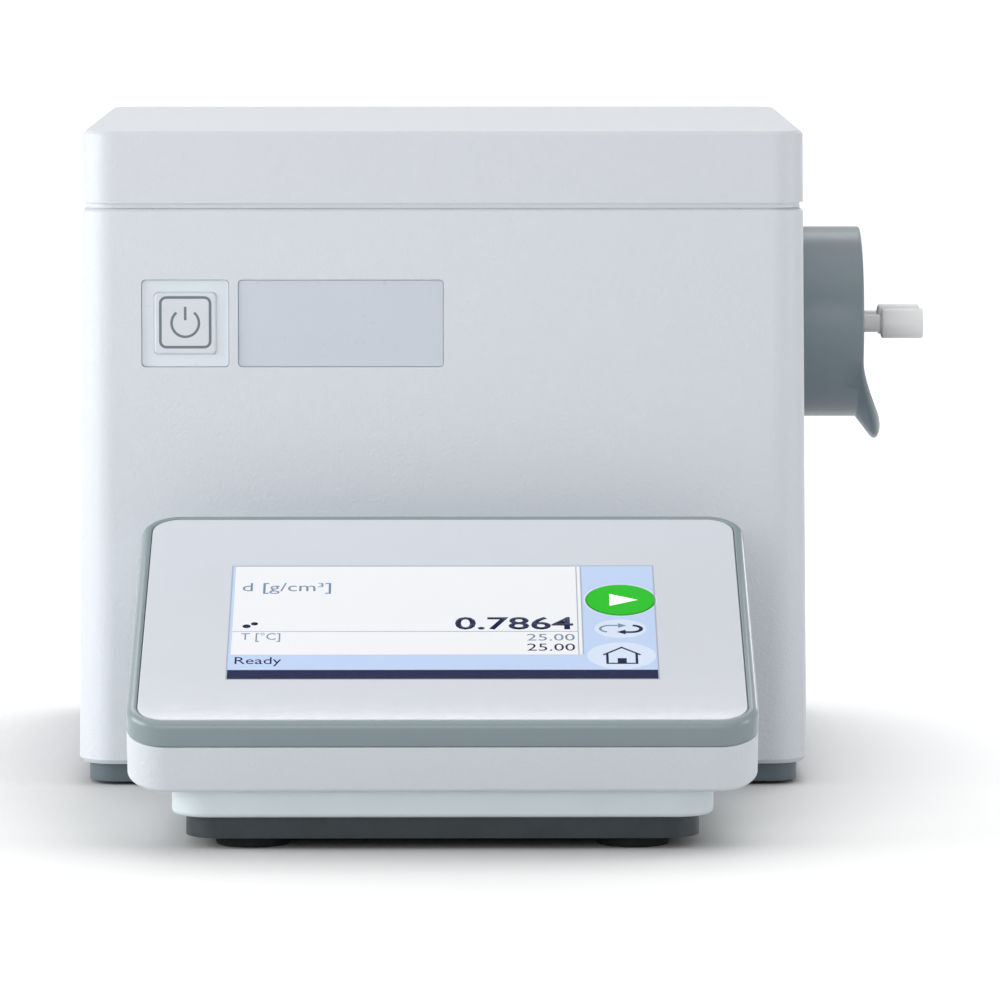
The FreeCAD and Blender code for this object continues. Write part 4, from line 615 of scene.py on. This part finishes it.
tube = bmesh.new()
rings = [tube_ring(tube, middle, way, TUBE_RADIUS) for middle, way in zip(path, ways)]
rings += [tube_ring(tube, middle, way, TUBE_BORE) for middle, way in list(zip(path, ways))[::-1]]
for i in range(len(rings)):
    for k in range(TUBE_SIDES):
        tube.faces.new((rings[i - 1][k - 1], rings[i - 1][k], rings[i][k], rings[i][k - 1]))
tube_piece = add_piece("glass_tube", tube, tube_glass, "instrument")
smooth(tube_piece)
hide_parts("u_tube")
block_metal = plated("block_metal", (188, 191, 194), 0.42, (30, 1, 1))
jacket_foam = satin("jacket_foam", (58, 60, 62), 0.9, speck=700, depth=0.25)
peltier_ceramic = satin("peltier_ceramic", (232, 230, 222), 0.6)
sink_metal = plated("sink_metal", (168, 171, 175), 0.45, (1, 30, 1))
dress(block_metal, "cell_block", round_over=0.4)
dress(jacket_foam, "cell_jacket", round_over=0.6)
dress(peltier_ceramic, "peltier_elements")
dress(sink_metal, "heat_sink")
dress(screw_steel, "stand_posts")


# The drying cartridge in the deck's trough: a clear tube between two black caps, full of orange
# beads that keep the cell free of dew.

cap_plastic = satin("cap_plastic", (38, 40, 43), 0.4)
bead_tube = clear("bead_tube", (236, 242, 244), 0.03, 1.3)
bead_orange = satin("bead_orange", (232, 140, 60), 0.3, speck=900, depth=0.01, sway=30)
dress(cap_plastic, "cartridge_caps", round_over=0.4)
beads_low, beads_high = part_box("drying_cartridge")
BEADS_Y = (beads_low.y + beads_high.y) / 2 / MM
BEADS_Z = (beads_low.z + beads_high.z) / 2 / MM
WALL_OUT = (beads_high.z - beads_low.z) / 2 / MM
WALL_THICKNESS = 1.2
WALL_IN = WALL_OUT - WALL_THICKNESS
BEAD = 1.95
BEAD_PITCH = 1.72 * BEAD
BEAD_GAP = 0.05
CORE_RADIUS = 2.7


def on_cartridge(along, out, turn):
    """A point round the cartridge's axis."""
    return Vector((along, BEADS_Y + out * sin(turn), BEADS_Z - out * cos(turn))) * MM


start, end = beads_low.x / MM, beads_high.x / MM
WALL = [(start, WALL_IN), (start, WALL_OUT), (end, WALL_OUT), (end, WALL_IN)]
wall = bmesh.new()
turned(wall, lambda turn: WALL, 64, on_cartridge)
wall_piece = add_piece("cartridge_wall", wall, bead_tube, "instrument")
smooth(wall_piece)
beads = bmesh.new()
layers = int((end - start - 2 * BEAD) / BEAD_PITCH)
for layer in range(layers + 1):
    along = mix(start + BEAD + BEAD_GAP, end - BEAD - BEAD_GAP, layer / layers)
    for count, out in ((10, WALL_IN - BEAD - BEAD_GAP), (4, CORE_RADIUS)):
        for i in range(count):
            turn = tau * (i + layer % 2 / 2) / count + 0.1 * sin(5 * layer + 3 * i)
            size = BEAD * (0.97 + 0.03 * sin(7 * layer + 11 * i))
            bmesh.ops.create_icosphere(beads, subdivisions=2, radius=size * MM,
                                       matrix=Matrix.Translation(on_cartridge(along, out, turn)))
beads_piece = add_piece("cartridge_beads", beads, bead_orange, "instrument")
beads_piece.data.shade_smooth()
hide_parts("drying_cartridge")


# The rear: a grey panel screwed into the housing, with the fan and its guard behind the sink,
# and the sockets of the main board along its lower edge.

panel_paint = painted("panel_paint", (164, 170, 176), peel=0.03)
fan_plastic = satin("fan_plastic", (24, 25, 27), 0.45)
guard_metal = satin("guard_metal", (30, 31, 33), 0.4)
socket_plastic = satin("socket_plastic", (26, 27, 29), 0.45)
socket_metal = plated("socket_metal", (190, 192, 194), 0.3, (1, 30, 1))
dress(panel_paint, "rear_panel", round_over=0.2)
dress(fan_plastic, "fan_frame", round_over=0.5)
dress(guard_metal, "fan_guard")
dress(screw_steel, "board_standoffs")
dress(socket_plastic, "power_socket", "serial_socket")
dress(socket_metal, "usb_device_socket", "usb_host_socket")


# The fan's rotor: a round hub on its shaft, with seven blades that are hollow like spoons and
# flatten towards their tips.

rotor_low, rotor_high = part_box("fan_frame")
ROTOR_X = (rotor_low.x + rotor_high.x) / 2 / MM
ROTOR_Z = (rotor_low.z + rotor_high.z) / 2 / MM
shaft_low, hub_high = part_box("fan_impeller")
SHAFT_END = shaft_low.y / MM
HUB_END = hub_high.y / MM
HUB_DEPTH = 16.0
HUB_START = HUB_END - HUB_DEPTH
HUB_RADIUS = 16.4
SHAFT_RADIUS = 2.0
LABEL_RADIUS = 12.6
LABEL_DEPTH = 0.3
BLADES = 7
BLADE_ROOT = HUB_RADIUS - 1.0
BLADE_TIP = 36.6
ROOT_PITCH = 52
TIP_PITCH = 30
ROOT_CHORD = 14.0
TIP_CHORD = 20.0
BLADE_HOLLOW = 1.8
BLADE_HALF = 0.75
BLADE_EDGE = 0.15
BLADE_SWEEP = 0.35
REACH_STEPS = 6
CHORD_STEPS = 10


def on_rotor(along, out, turn):
    """A point round the fan's axis."""
    return Vector((ROTOR_X + out * sin(turn), along, ROTOR_Z - out * cos(turn))) * MM


HUB = [
    (SHAFT_END, 0.0), (SHAFT_END, SHAFT_RADIUS), (HUB_START, SHAFT_RADIUS), (HUB_START, HUB_RADIUS),
    (HUB_END - 1.8, HUB_RADIUS), (HUB_END - 0.9, HUB_RADIUS - 0.25), (HUB_END - 0.25, HUB_RADIUS - 0.9),
    (HUB_END, HUB_RADIUS - 1.8), (HUB_END, LABEL_RADIUS), (HUB_END - LABEL_DEPTH, LABEL_RADIUS - 0.2),
    (HUB_END - LABEL_DEPTH, 0.0)]
rotor = bmesh.new()
turned(rotor, lambda turn: HUB, 72, on_rotor)
bmesh.ops.remove_doubles(rotor, verts=rotor.verts, dist=0.001 * MM)


def blade_point(base, reach, chord_share, face):
    """A point on a blade: from root to tip, along its chord and on one of its faces."""
    out = mix(BLADE_ROOT, BLADE_TIP, reach)
    pitch = radians(mix(ROOT_PITCH, TIP_PITCH, reach))
    chord = mix(ROOT_CHORD, TIP_CHORD, reach)
    hollow = BLADE_HOLLOW * (1 - 4 * chord_share ** 2)
    thick = face * BLADE_HALF * (1 - (2 * abs(chord_share)) ** 3) + face * BLADE_EDGE
    across, over = chord * chord_share, hollow + thick
    turn = base + BLADE_SWEEP * reach + (across * cos(pitch) - over * sin(pitch)) / out
    return on_rotor((HUB_START + HUB_END) / 2 + across * sin(pitch) + over * cos(pitch), out, turn)


shares = [k / CHORD_STEPS - 0.5 for k in range(CHORD_STEPS + 1)]
skin = [(share, 1) for share in shares] + [(-share, -1) for share in shares]
for blade in range(BLADES):
    base = tau * blade / BLADES
    grid = []
    for i in range(REACH_STEPS + 1):
        points = [blade_point(base, i / REACH_STEPS, share, face) for share, face in skin]
        grid.append([rotor.verts.new(point) for point in points])
    for i in range(REACH_STEPS):
        for k in range(len(skin)):
            rotor.faces.new((grid[i][k - 1], grid[i][k], grid[i + 1][k], grid[i + 1][k - 1]))
    rotor.faces.new(grid[0])
    rotor.faces.new(grid[-1][::-1])
rotor_piece = add_piece("fan_rotor_blades", rotor, fan_plastic, "fan_rotor")
smooth(rotor_piece, 30)
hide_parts("fan_impeller")


# The terminal: a slate plate joins it to the meter, a wedge base stands on that, and a tray
# carries the bezel, the printed glass and the display under it. It leans back by 20 degrees.

terminal_paint = painted("terminal_paint", (226, 233, 238), peel=0.26)
wedge_plastic = satin("wedge_plastic", (224, 235, 238), 0.36, speck=900, depth=0.02, sway=3)
bezel_plastic = satin("bezel_plastic", (140, 156, 162), 0.24, speck=2600, depth=0.0005, sway=1, rub=0.01)
setting(bezel_plastic, "Specular IOR Level", 0.65)
fascia_print = satin("fascia_print", (234, 237, 245), 0.08, speck=500, depth=0.0002, sway=1)
display_black = satin("display_black", (24, 26, 30), 0.3)
support_paint = satin("support_paint", (36, 47, 53), 0.45)
dress(support_paint, "support_plate", round_over=0.4)
dress(foot_rubber, "terminal_feet", round_over=0.5)
dress(terminal_paint, "terminal_tray", round_over=0.6)
dress(wedge_plastic, "terminal_base", round_over=0.6)
dress(fascia_print, "fascia_glass", round_over=0.45)
dress(display_black, "display_module")

SLAB_TILT = radians(20)
SLAB_PLACE = Vector((-24.75, -210.83, 20.6)) * MM
GLASS_TOP = 27.4


def on_slab(x, u, height):
    """A point over the glass: x across, u up the slope and a height over the glass, in mm."""
    w = GLASS_TOP + height
    up = Vector((x, u * cos(SLAB_TILT) - w * sin(SLAB_TILT), u * sin(SLAB_TILT) + w * cos(SLAB_TILT)))
    return SLAB_PLACE + up * MM


BEZEL_WIDTH = 220.8
BEZEL_LENGTH = 169.7
BEZEL_CORNER = 14.0
BEZEL_RIM = 3.6
BEZEL_SKIRT = 8.5
BEZEL_INSIDE = 2.6
SEAT_DEPTH = 1.7
SEAT_INSIDE = 7.6
RIB_DEPTH = 12.0
BEZEL_SECTION = [
    (0.0, -BEZEL_SKIRT), (0.0, -2.2), (0.1, -1.6), (0.35, -1.05), (0.75, -0.55), (1.3, -0.15), (2.0, 0.1),
    (2.7, 0.2), (3.15, 0.15), (3.45, 0.0), (BEZEL_RIM, -0.25), (BEZEL_RIM, -SEAT_DEPTH),
    (SEAT_INSIDE, -SEAT_DEPTH), (SEAT_INSIDE, -RIB_DEPTH), (BEZEL_INSIDE, -RIB_DEPTH),
    (BEZEL_INSIDE, -BEZEL_SKIRT)]


def slab_ring(shape, inset, height):
    """The slab's outline, drawn in by an inset, at a height over the glass."""
    corner = BEZEL_CORNER - inset
    half, far = BEZEL_WIDTH / 2 - BEZEL_CORNER, BEZEL_LENGTH - BEZEL_CORNER
    points = []
    for turn, (x, u) in enumerate(((half, far), (-half, far), (-half, BEZEL_CORNER), (half, BEZEL_CORNER))):
        points += arc(x, u, corner, 90 * turn, 90 * turn + 90, 16)
    return [shape.verts.new(on_slab(x, u, height)) for x, u in points]


bezel = bmesh.new()
rings = [slab_ring(bezel, inset, height) for inset, height in BEZEL_SECTION]
for i in range(len(rings)):
    for k in range(len(rings[0])):
        bezel.faces.new((rings[i - 1][k - 1], rings[i - 1][k], rings[i][k], rings[i][k - 1]))
bezel_piece = add_piece("bezel", bezel, bezel_plastic, "instrument")
smooth(bezel_piece, 40)
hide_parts("terminal_bezel")


def lit(name, colour, glow=0.3):
    """A colour of the lit display, seen through the glass."""
    finish = new_finish(name, colour, 0.12)
    setting(finish, "Emission Color", (*tint(*colour), 1))
    setting(finish, "Emission Strength", glow)
    setting(finish, "Specular IOR Level", 0.12)
    emboss(finish, grain(finish, 4000, 1.0), 0.0002 * MM)
    return finish


def box_outline(left, right, low, high):
    """The corners of an upright rectangle."""
    return [(left, low), (right, low), (right, high), (left, high)]


lit_white = lit("lit_white", (232, 233, 236))
lit_pale = lit("lit_pale", (186, 204, 234))
lit_disc = lit("lit_disc", (208, 219, 238))
lit_navy = lit("lit_navy", (6, 22, 74), 0.05)
lit_grey = lit("lit_grey", (120, 143, 166), 0.15)
lit_line = lit("lit_line", (176, 186, 200), 0.1)
lit_green = lit("lit_green", (26, 190, 8), 0.25)
lit_leaf = lit("lit_leaf", (22, 150, 14), 0.2)
lit_bright = lit("lit_bright", (250, 252, 250), 0.5)

DISPLAY_SIDE = 76.2
DISPLAY_LOW = 34.94
DISPLAY_HIGH = 126.38
PANEL_LEFT = -75.0
PANEL_RIGHT = 49.9
PANEL_HIGH = 125.6
PANEL_EDGE = 1.6
BAR_HIGH = 54.4
NAVY_HIGH = 42.3
DIVIDER = 72.7
LAYER = 0.012
UNDER_GLASS = -0.02
RULE = 0.5
THIN_RULE = 0.4
ICON_LINE = 0.9
BOLD_LINE = 1.4
START_X = 63.9
START_U = 98.5
ICON_X = 63.4
LOOP_U = 74.8
LOOP_RADIUS = 3.6
HOME_U = 53.4


def show(name, finish, level, outlines=(), lines=()):
    """A part of the picture on the display, as a thin plate over the last."""
    shape = bmesh.new()
    for outline in outlines:
        plate(shape, outline, on_slab, UNDER_GLASS, level * LAYER)
    for path, width, closed in lines:
        line(shape, path, width, on_slab, UNDER_GLASS, level * LAYER, closed)
    return add_piece(name, shape, finish, "instrument")


show("display_ground", lit_pale, 1, [box_outline(-DISPLAY_SIDE, DISPLAY_SIDE, DISPLAY_LOW, DISPLAY_HIGH)])
show("display_panel", lit_white, 2, [box_outline(PANEL_LEFT, PANEL_RIGHT, BAR_HIGH, PANEL_HIGH)])
show("display_foot", lit_navy, 2, [box_outline(-DISPLAY_SIDE, DISPLAY_SIDE, DISPLAY_LOW, NAVY_HIGH)])
show("display_lines", lit_line, 3, [], [
    ([(PANEL_LEFT, DIVIDER), (PANEL_RIGHT - PANEL_EDGE, DIVIDER)], RULE, False),
    ([(PANEL_RIGHT - PANEL_EDGE, BAR_HIGH), (PANEL_RIGHT - PANEL_EDGE, PANEL_HIGH)], THIN_RULE, False),
    ([(PANEL_RIGHT, BAR_HIGH), (PANEL_RIGHT, PANEL_HIGH)], RULE, False),
    (box_outline(-DISPLAY_SIDE, DISPLAY_SIDE, DISPLAY_LOW, DISPLAY_HIGH), RULE, True)])
show("start_ring", lit_disc, 2, [arc(START_X, START_U - 0.4, 13.3, 0, 351)])
show("start_shade", lit_leaf, 3, [arc(START_X, START_U - 0.5, 12.7, 0, 351)])
show("start_key", lit_green, 4, [arc(START_X, START_U, 12.1, 0, 351)])
show("start_arrow", lit_bright, 5, [[(59.9, 93.4), (70.1, 98.2), (60.0, 103.0)]])
show("loop_key", lit_disc, 2, [arc(ICON_X, LOOP_U + 0.1, 9.3, 0, 351, flat=0.8)])
show("home_key", lit_disc, 2, [arc(ICON_X, HOME_U, 12.2, 0, 351, flat=0.86)])
show("loop_back", lit_grey, 3, [[(62.6, 79.2), (65.6, 77.4), (62.6, 75.6)]],
     [(arc(ICON_X - LOOP_RADIUS, LOOP_U, LOOP_RADIUS, 90, 250, 20, 0.75), ICON_LINE, False),
      ([(ICON_X - LOOP_RADIUS, 77.5), (62.9, 77.5)], ICON_LINE, False)])
show("loop_on", lit_navy, 3, [[(65.2, 70.3), (62.0, 72.2), (65.2, 74.1)]],
     [(arc(67.2, LOOP_U, LOOP_RADIUS, 80, -90, 20, 0.75), BOLD_LINE, False),
      ([(67.2, 72.1), (64.8, 72.1)], BOLD_LINE, False)])
show("home_mark", lit_navy, 3, [box_outline(61.9, 65.1, 47.3, 51.4)],
     [([(56.9, 54.0), (63.5, 59.9), (70.1, 54.0)], ICON_LINE, False),
      ([(58.3, 54.9), (58.3, 47.3), (68.7, 47.3), (68.7, 54.9)], ICON_LINE, False)])
show("drop_mark", lit_navy, 3, [arc(-70.0, 77.0, 1.5, 0, 350, 16), arc(-67.2, 79.0, 1.3, 0, 350, 16)])


def write(name, words, finish, left, right, low, high, level=3, bold=0.0):
    """Words on the display, set to fill a rectangle."""
    letters = bpy.data.curves.new(name, "FONT")
    letters.body = words
    letters.offset = bold
    letters.resolution_u = 3
    holder = bpy.data.objects.new(name + "_letters", letters)
    bpy.context.scene.collection.objects.link(holder)
    mesh = bpy.data.meshes.new_from_object(holder)
    bpy.data.objects.remove(holder)
    bpy.data.curves.remove(letters)
    shape = bmesh.new()
    shape.from_mesh(mesh)
    bpy.data.meshes.remove(mesh)
    bmesh.ops.remove_doubles(shape, verts=shape.verts, dist=1e-5)
    xs = [vert.co.x for vert in shape.verts]
    ys = [vert.co.y for vert in shape.verts]
    wide, tall = max(xs) - min(xs), max(ys) - min(ys)
    raised = bmesh.ops.extrude_face_region(shape, geom=shape.faces)
    over = {item for item in raised["geom"] if isinstance(item, bmesh.types.BMVert)}
    for vert in shape.verts:
        x = left + (vert.co.x - min(xs)) / wide * (right - left)
        u = low + (vert.co.y - min(ys)) / tall * (high - low)
        vert.co = on_slab(x, u, level * LAYER if vert in over else UNDER_GLASS)
    return add_piece(name, shape, finish, "instrument")


write("unit_words", "d [g/cm³]", lit_grey, -72.2, -40.3, 103.3, 112.3)
write("main_number", "0.7864", lit_navy, 4.4, 46.6, 74.2, 84.4, bold=0.018)
write("warmth_unit", "T [°C]", lit_grey, -71.8, -57.8, 64.5, 71.7)
write("warmth_asked", "25.00", lit_grey, 30.0, 47.0, 65.4, 70.7)
write("warmth_read", "25.00", lit_navy, 30.0, 47.0, 57.3, 63.0)
write("state_words", "Ready", lit_navy, -73.5, -57.0, 45.2, 52.4)


# The bench and the light: a wide pale floor that fades to white at the back. Its glow is weaker near
# the meter and cut further where things stand close: a painted shadow. Soft boxes stand on the left,
# in front, above, behind and on the right, and a small one far behind on the right draws a thin line
# of light along the edges.

FLOOR_HALF = 14.0
FLOOR_GREY = 0.78
# The floor glows less near the meter, which paints a shade round it.
GLOW_NEAR = 0.42
GLOW_FAR = 0.85
GLOW_REACH = 1.5
GLOW_FRONT = 0.3
# The SHADOW values shape the painted contact shadow: how far it reaches, how it leans and where it is full.
SHADOW_REACH = 0.12
SHADOW_LEAN = 0.3
SHADOW_FULL = 0.48


def backdrop_rays(nodes, links):
    """One for rays that see the backdrop, straight or by way of gloss and glass, and zero for the rest."""
    rays = nodes.new("ShaderNodeLightPath")
    seen = rays.outputs["Is Camera Ray"]
    for kind in ("Is Glossy Ray", "Is Transmission Ray"):
        either = nodes.new("ShaderNodeMath")
        either.operation = "MAXIMUM"
        links.new(seen, either.inputs[0])
        links.new(rays.outputs[kind], either.inputs[1])
        seen = either.outputs["Value"]
    return seen


def floor_finish():
    """Pale paint that glows to the eye towards the back, weaker near the meter and cut where things stand
    close: a painted shadow.
    """
    paint = bpy.data.materials.new("floor_paint")
    paint.use_nodes = True
    nodes, links = paint.node_tree.nodes, paint.node_tree.links
    nodes.clear()
    shade = nodes.new("ShaderNodeBsdfDiffuse")
    shade.inputs["Color"].default_value = (FLOOR_GREY, FLOOR_GREY, FLOOR_GREY, 1)
    place = nodes.new("ShaderNodeTexCoord")
    reach = nodes.new("ShaderNodeMapping")
    reach.inputs["Location"].default_value = (0, GLOW_FRONT / GLOW_REACH, 0)
    reach.inputs["Scale"].default_value = (1 / GLOW_REACH, 1 / GLOW_REACH, 1)
    near = nodes.new("ShaderNodeTexGradient")
    near.gradient_type = "SPHERICAL"
    level = nodes.new("ShaderNodeMapRange")
    level.inputs["To Min"].default_value = GLOW_FAR
    level.inputs["To Max"].default_value = GLOW_NEAR
    # Painted shadow: the glow is cut where the space round a point of the floor is closed in. It leans so
    # that things behind and to the right cast more of it.
    painted_contact_shadow = nodes.new("ShaderNodeAmbientOcclusion")
    painted_contact_shadow.inputs["Distance"].default_value = SHADOW_REACH
    lean = nodes.new("ShaderNodeCombineXYZ")
    lean.inputs["X"].default_value = SHADOW_LEAN
    lean.inputs["Y"].default_value = SHADOW_LEAN
    lean.inputs["Z"].default_value = 1.0
    open_floor = nodes.new("ShaderNodeMapRange")
    open_floor.inputs["From Min"].default_value = SHADOW_FULL
    shaded = nodes.new("ShaderNodeMath")
    shaded.operation = "MULTIPLY"
    strength = nodes.new("ShaderNodeMath")
    strength.operation = "MULTIPLY"
    glow = nodes.new("ShaderNodeEmission")
    total = nodes.new("ShaderNodeAddShader")
    output = nodes.new("ShaderNodeOutputMaterial")
    links.new(place.outputs["Object"], reach.inputs["Vector"])
    links.new(reach.outputs["Vector"], near.inputs["Vector"])
    links.new(near.outputs["Fac"], level.inputs["Value"])
    links.new(lean.outputs["Vector"], painted_contact_shadow.inputs["Normal"])
    links.new(painted_contact_shadow.outputs["AO"], open_floor.inputs["Value"])
    links.new(level.outputs["Result"], shaded.inputs[0])
    links.new(open_floor.outputs["Result"], shaded.inputs[1])
    links.new(shaded.outputs["Value"], strength.inputs[0])
    links.new(backdrop_rays(nodes, links), strength.inputs[1])
    links.new(strength.outputs["Value"], glow.inputs["Strength"])
    links.new(shade.outputs["BSDF"], total.inputs[0])
    links.new(glow.outputs["Emission"], total.inputs[1])
    links.new(total.outputs["Shader"], output.inputs["Surface"])
    return paint


floor_shape = bmesh.new()
corners = [(x * FLOOR_HALF, y * FLOOR_HALF, 0) for x, y in ((-1, -1), (1, -1), (1, 1), (-1, 1))]
floor_shape.faces.new([floor_shape.verts.new(corner) for corner in corners])
floor_mesh = bpy.data.meshes.new("floor")
floor_shape.to_mesh(floor_mesh)
floor_shape.free()
floor = bpy.data.objects.new("floor", floor_mesh)
bpy.context.scene.collection.objects.link(floor)
floor_mesh.materials.append(floor_finish())

world = bpy.data.worlds.new("studio")
world.use_nodes = True
bpy.context.scene.world = world
nodes, links = world.node_tree.nodes, world.node_tree.links
sky = nodes["Background"]
sky.inputs["Color"].default_value = (1, 1, 1, 1)
level = nodes.new("ShaderNodeMapRange")
level.inputs["To Min"].default_value = 0.31
level.inputs["To Max"].default_value = 1.0
links.new(backdrop_rays(nodes, links), level.inputs["Value"])
links.new(level.outputs["Result"], sky.inputs["Strength"])


def soft_light(name, place, target, wide, tall, power):
    """A soft box that faces a point."""
    light = bpy.data.lights.new(name, "AREA")
    light.shape = "RECTANGLE"
    light.size = wide
    light.size_y = tall
    light.energy = power
    lamp = bpy.data.objects.new(name, light)
    lamp.location = place
    lamp.rotation_euler = (Vector(target) - Vector(place)).to_track_quat("-Z", "Y").to_euler()
    bpy.context.scene.collection.objects.link(lamp)


soft_light("left_box", (-1.5, -0.35, 0.5), (0, 0, 0.14), 1.3, 0.8, 14.2)
soft_light("right_box", (1.6, -0.5, 0.5), (0, 0, 0.14), 0.5, 1.0, 5)
soft_light("edge_box", (1.0, 1.7, 0.65), (0, 0, 0.1), 0.5, 0.4, 2.2)
soft_light("back_box", (-0.2, 1.15, 1.5), (0, 0, 0.12), 1.6, 0.5, 5.5)
soft_light("high_box", (0.0, -0.45, 1.8), (0, 0, 0.1), 2.4, 2.0, 8.5)
soft_light("front_box", (-0.5, -2.4, 0.7), (0, 0, 0.13), 1.6, 0.9, 9)


# The camera: a long lens two and a half metres in front of the meter, a little above it, and
# looking slightly down.

CAMERA_PLACE = (-21.37, -2656.5, 350.65)
CAMERA_DIP = 5.30
CAMERA_TURN = -0.39
eye = bpy.data.cameras.new("eye")
eye.lens = 254.48
eye.sensor_width = 36.0
eye.clip_end = 100.0
camera = bpy.data.objects.new("camera", eye)
camera.location = Vector(CAMERA_PLACE) * MM
camera.rotation_euler = (radians(90 - CAMERA_DIP), 0, radians(CAMERA_TURN))
bpy.context.scene.collection.objects.link(camera)
bpy.context.scene.camera = camera
bpy.context.scene.view_settings.view_transform = "Standard"
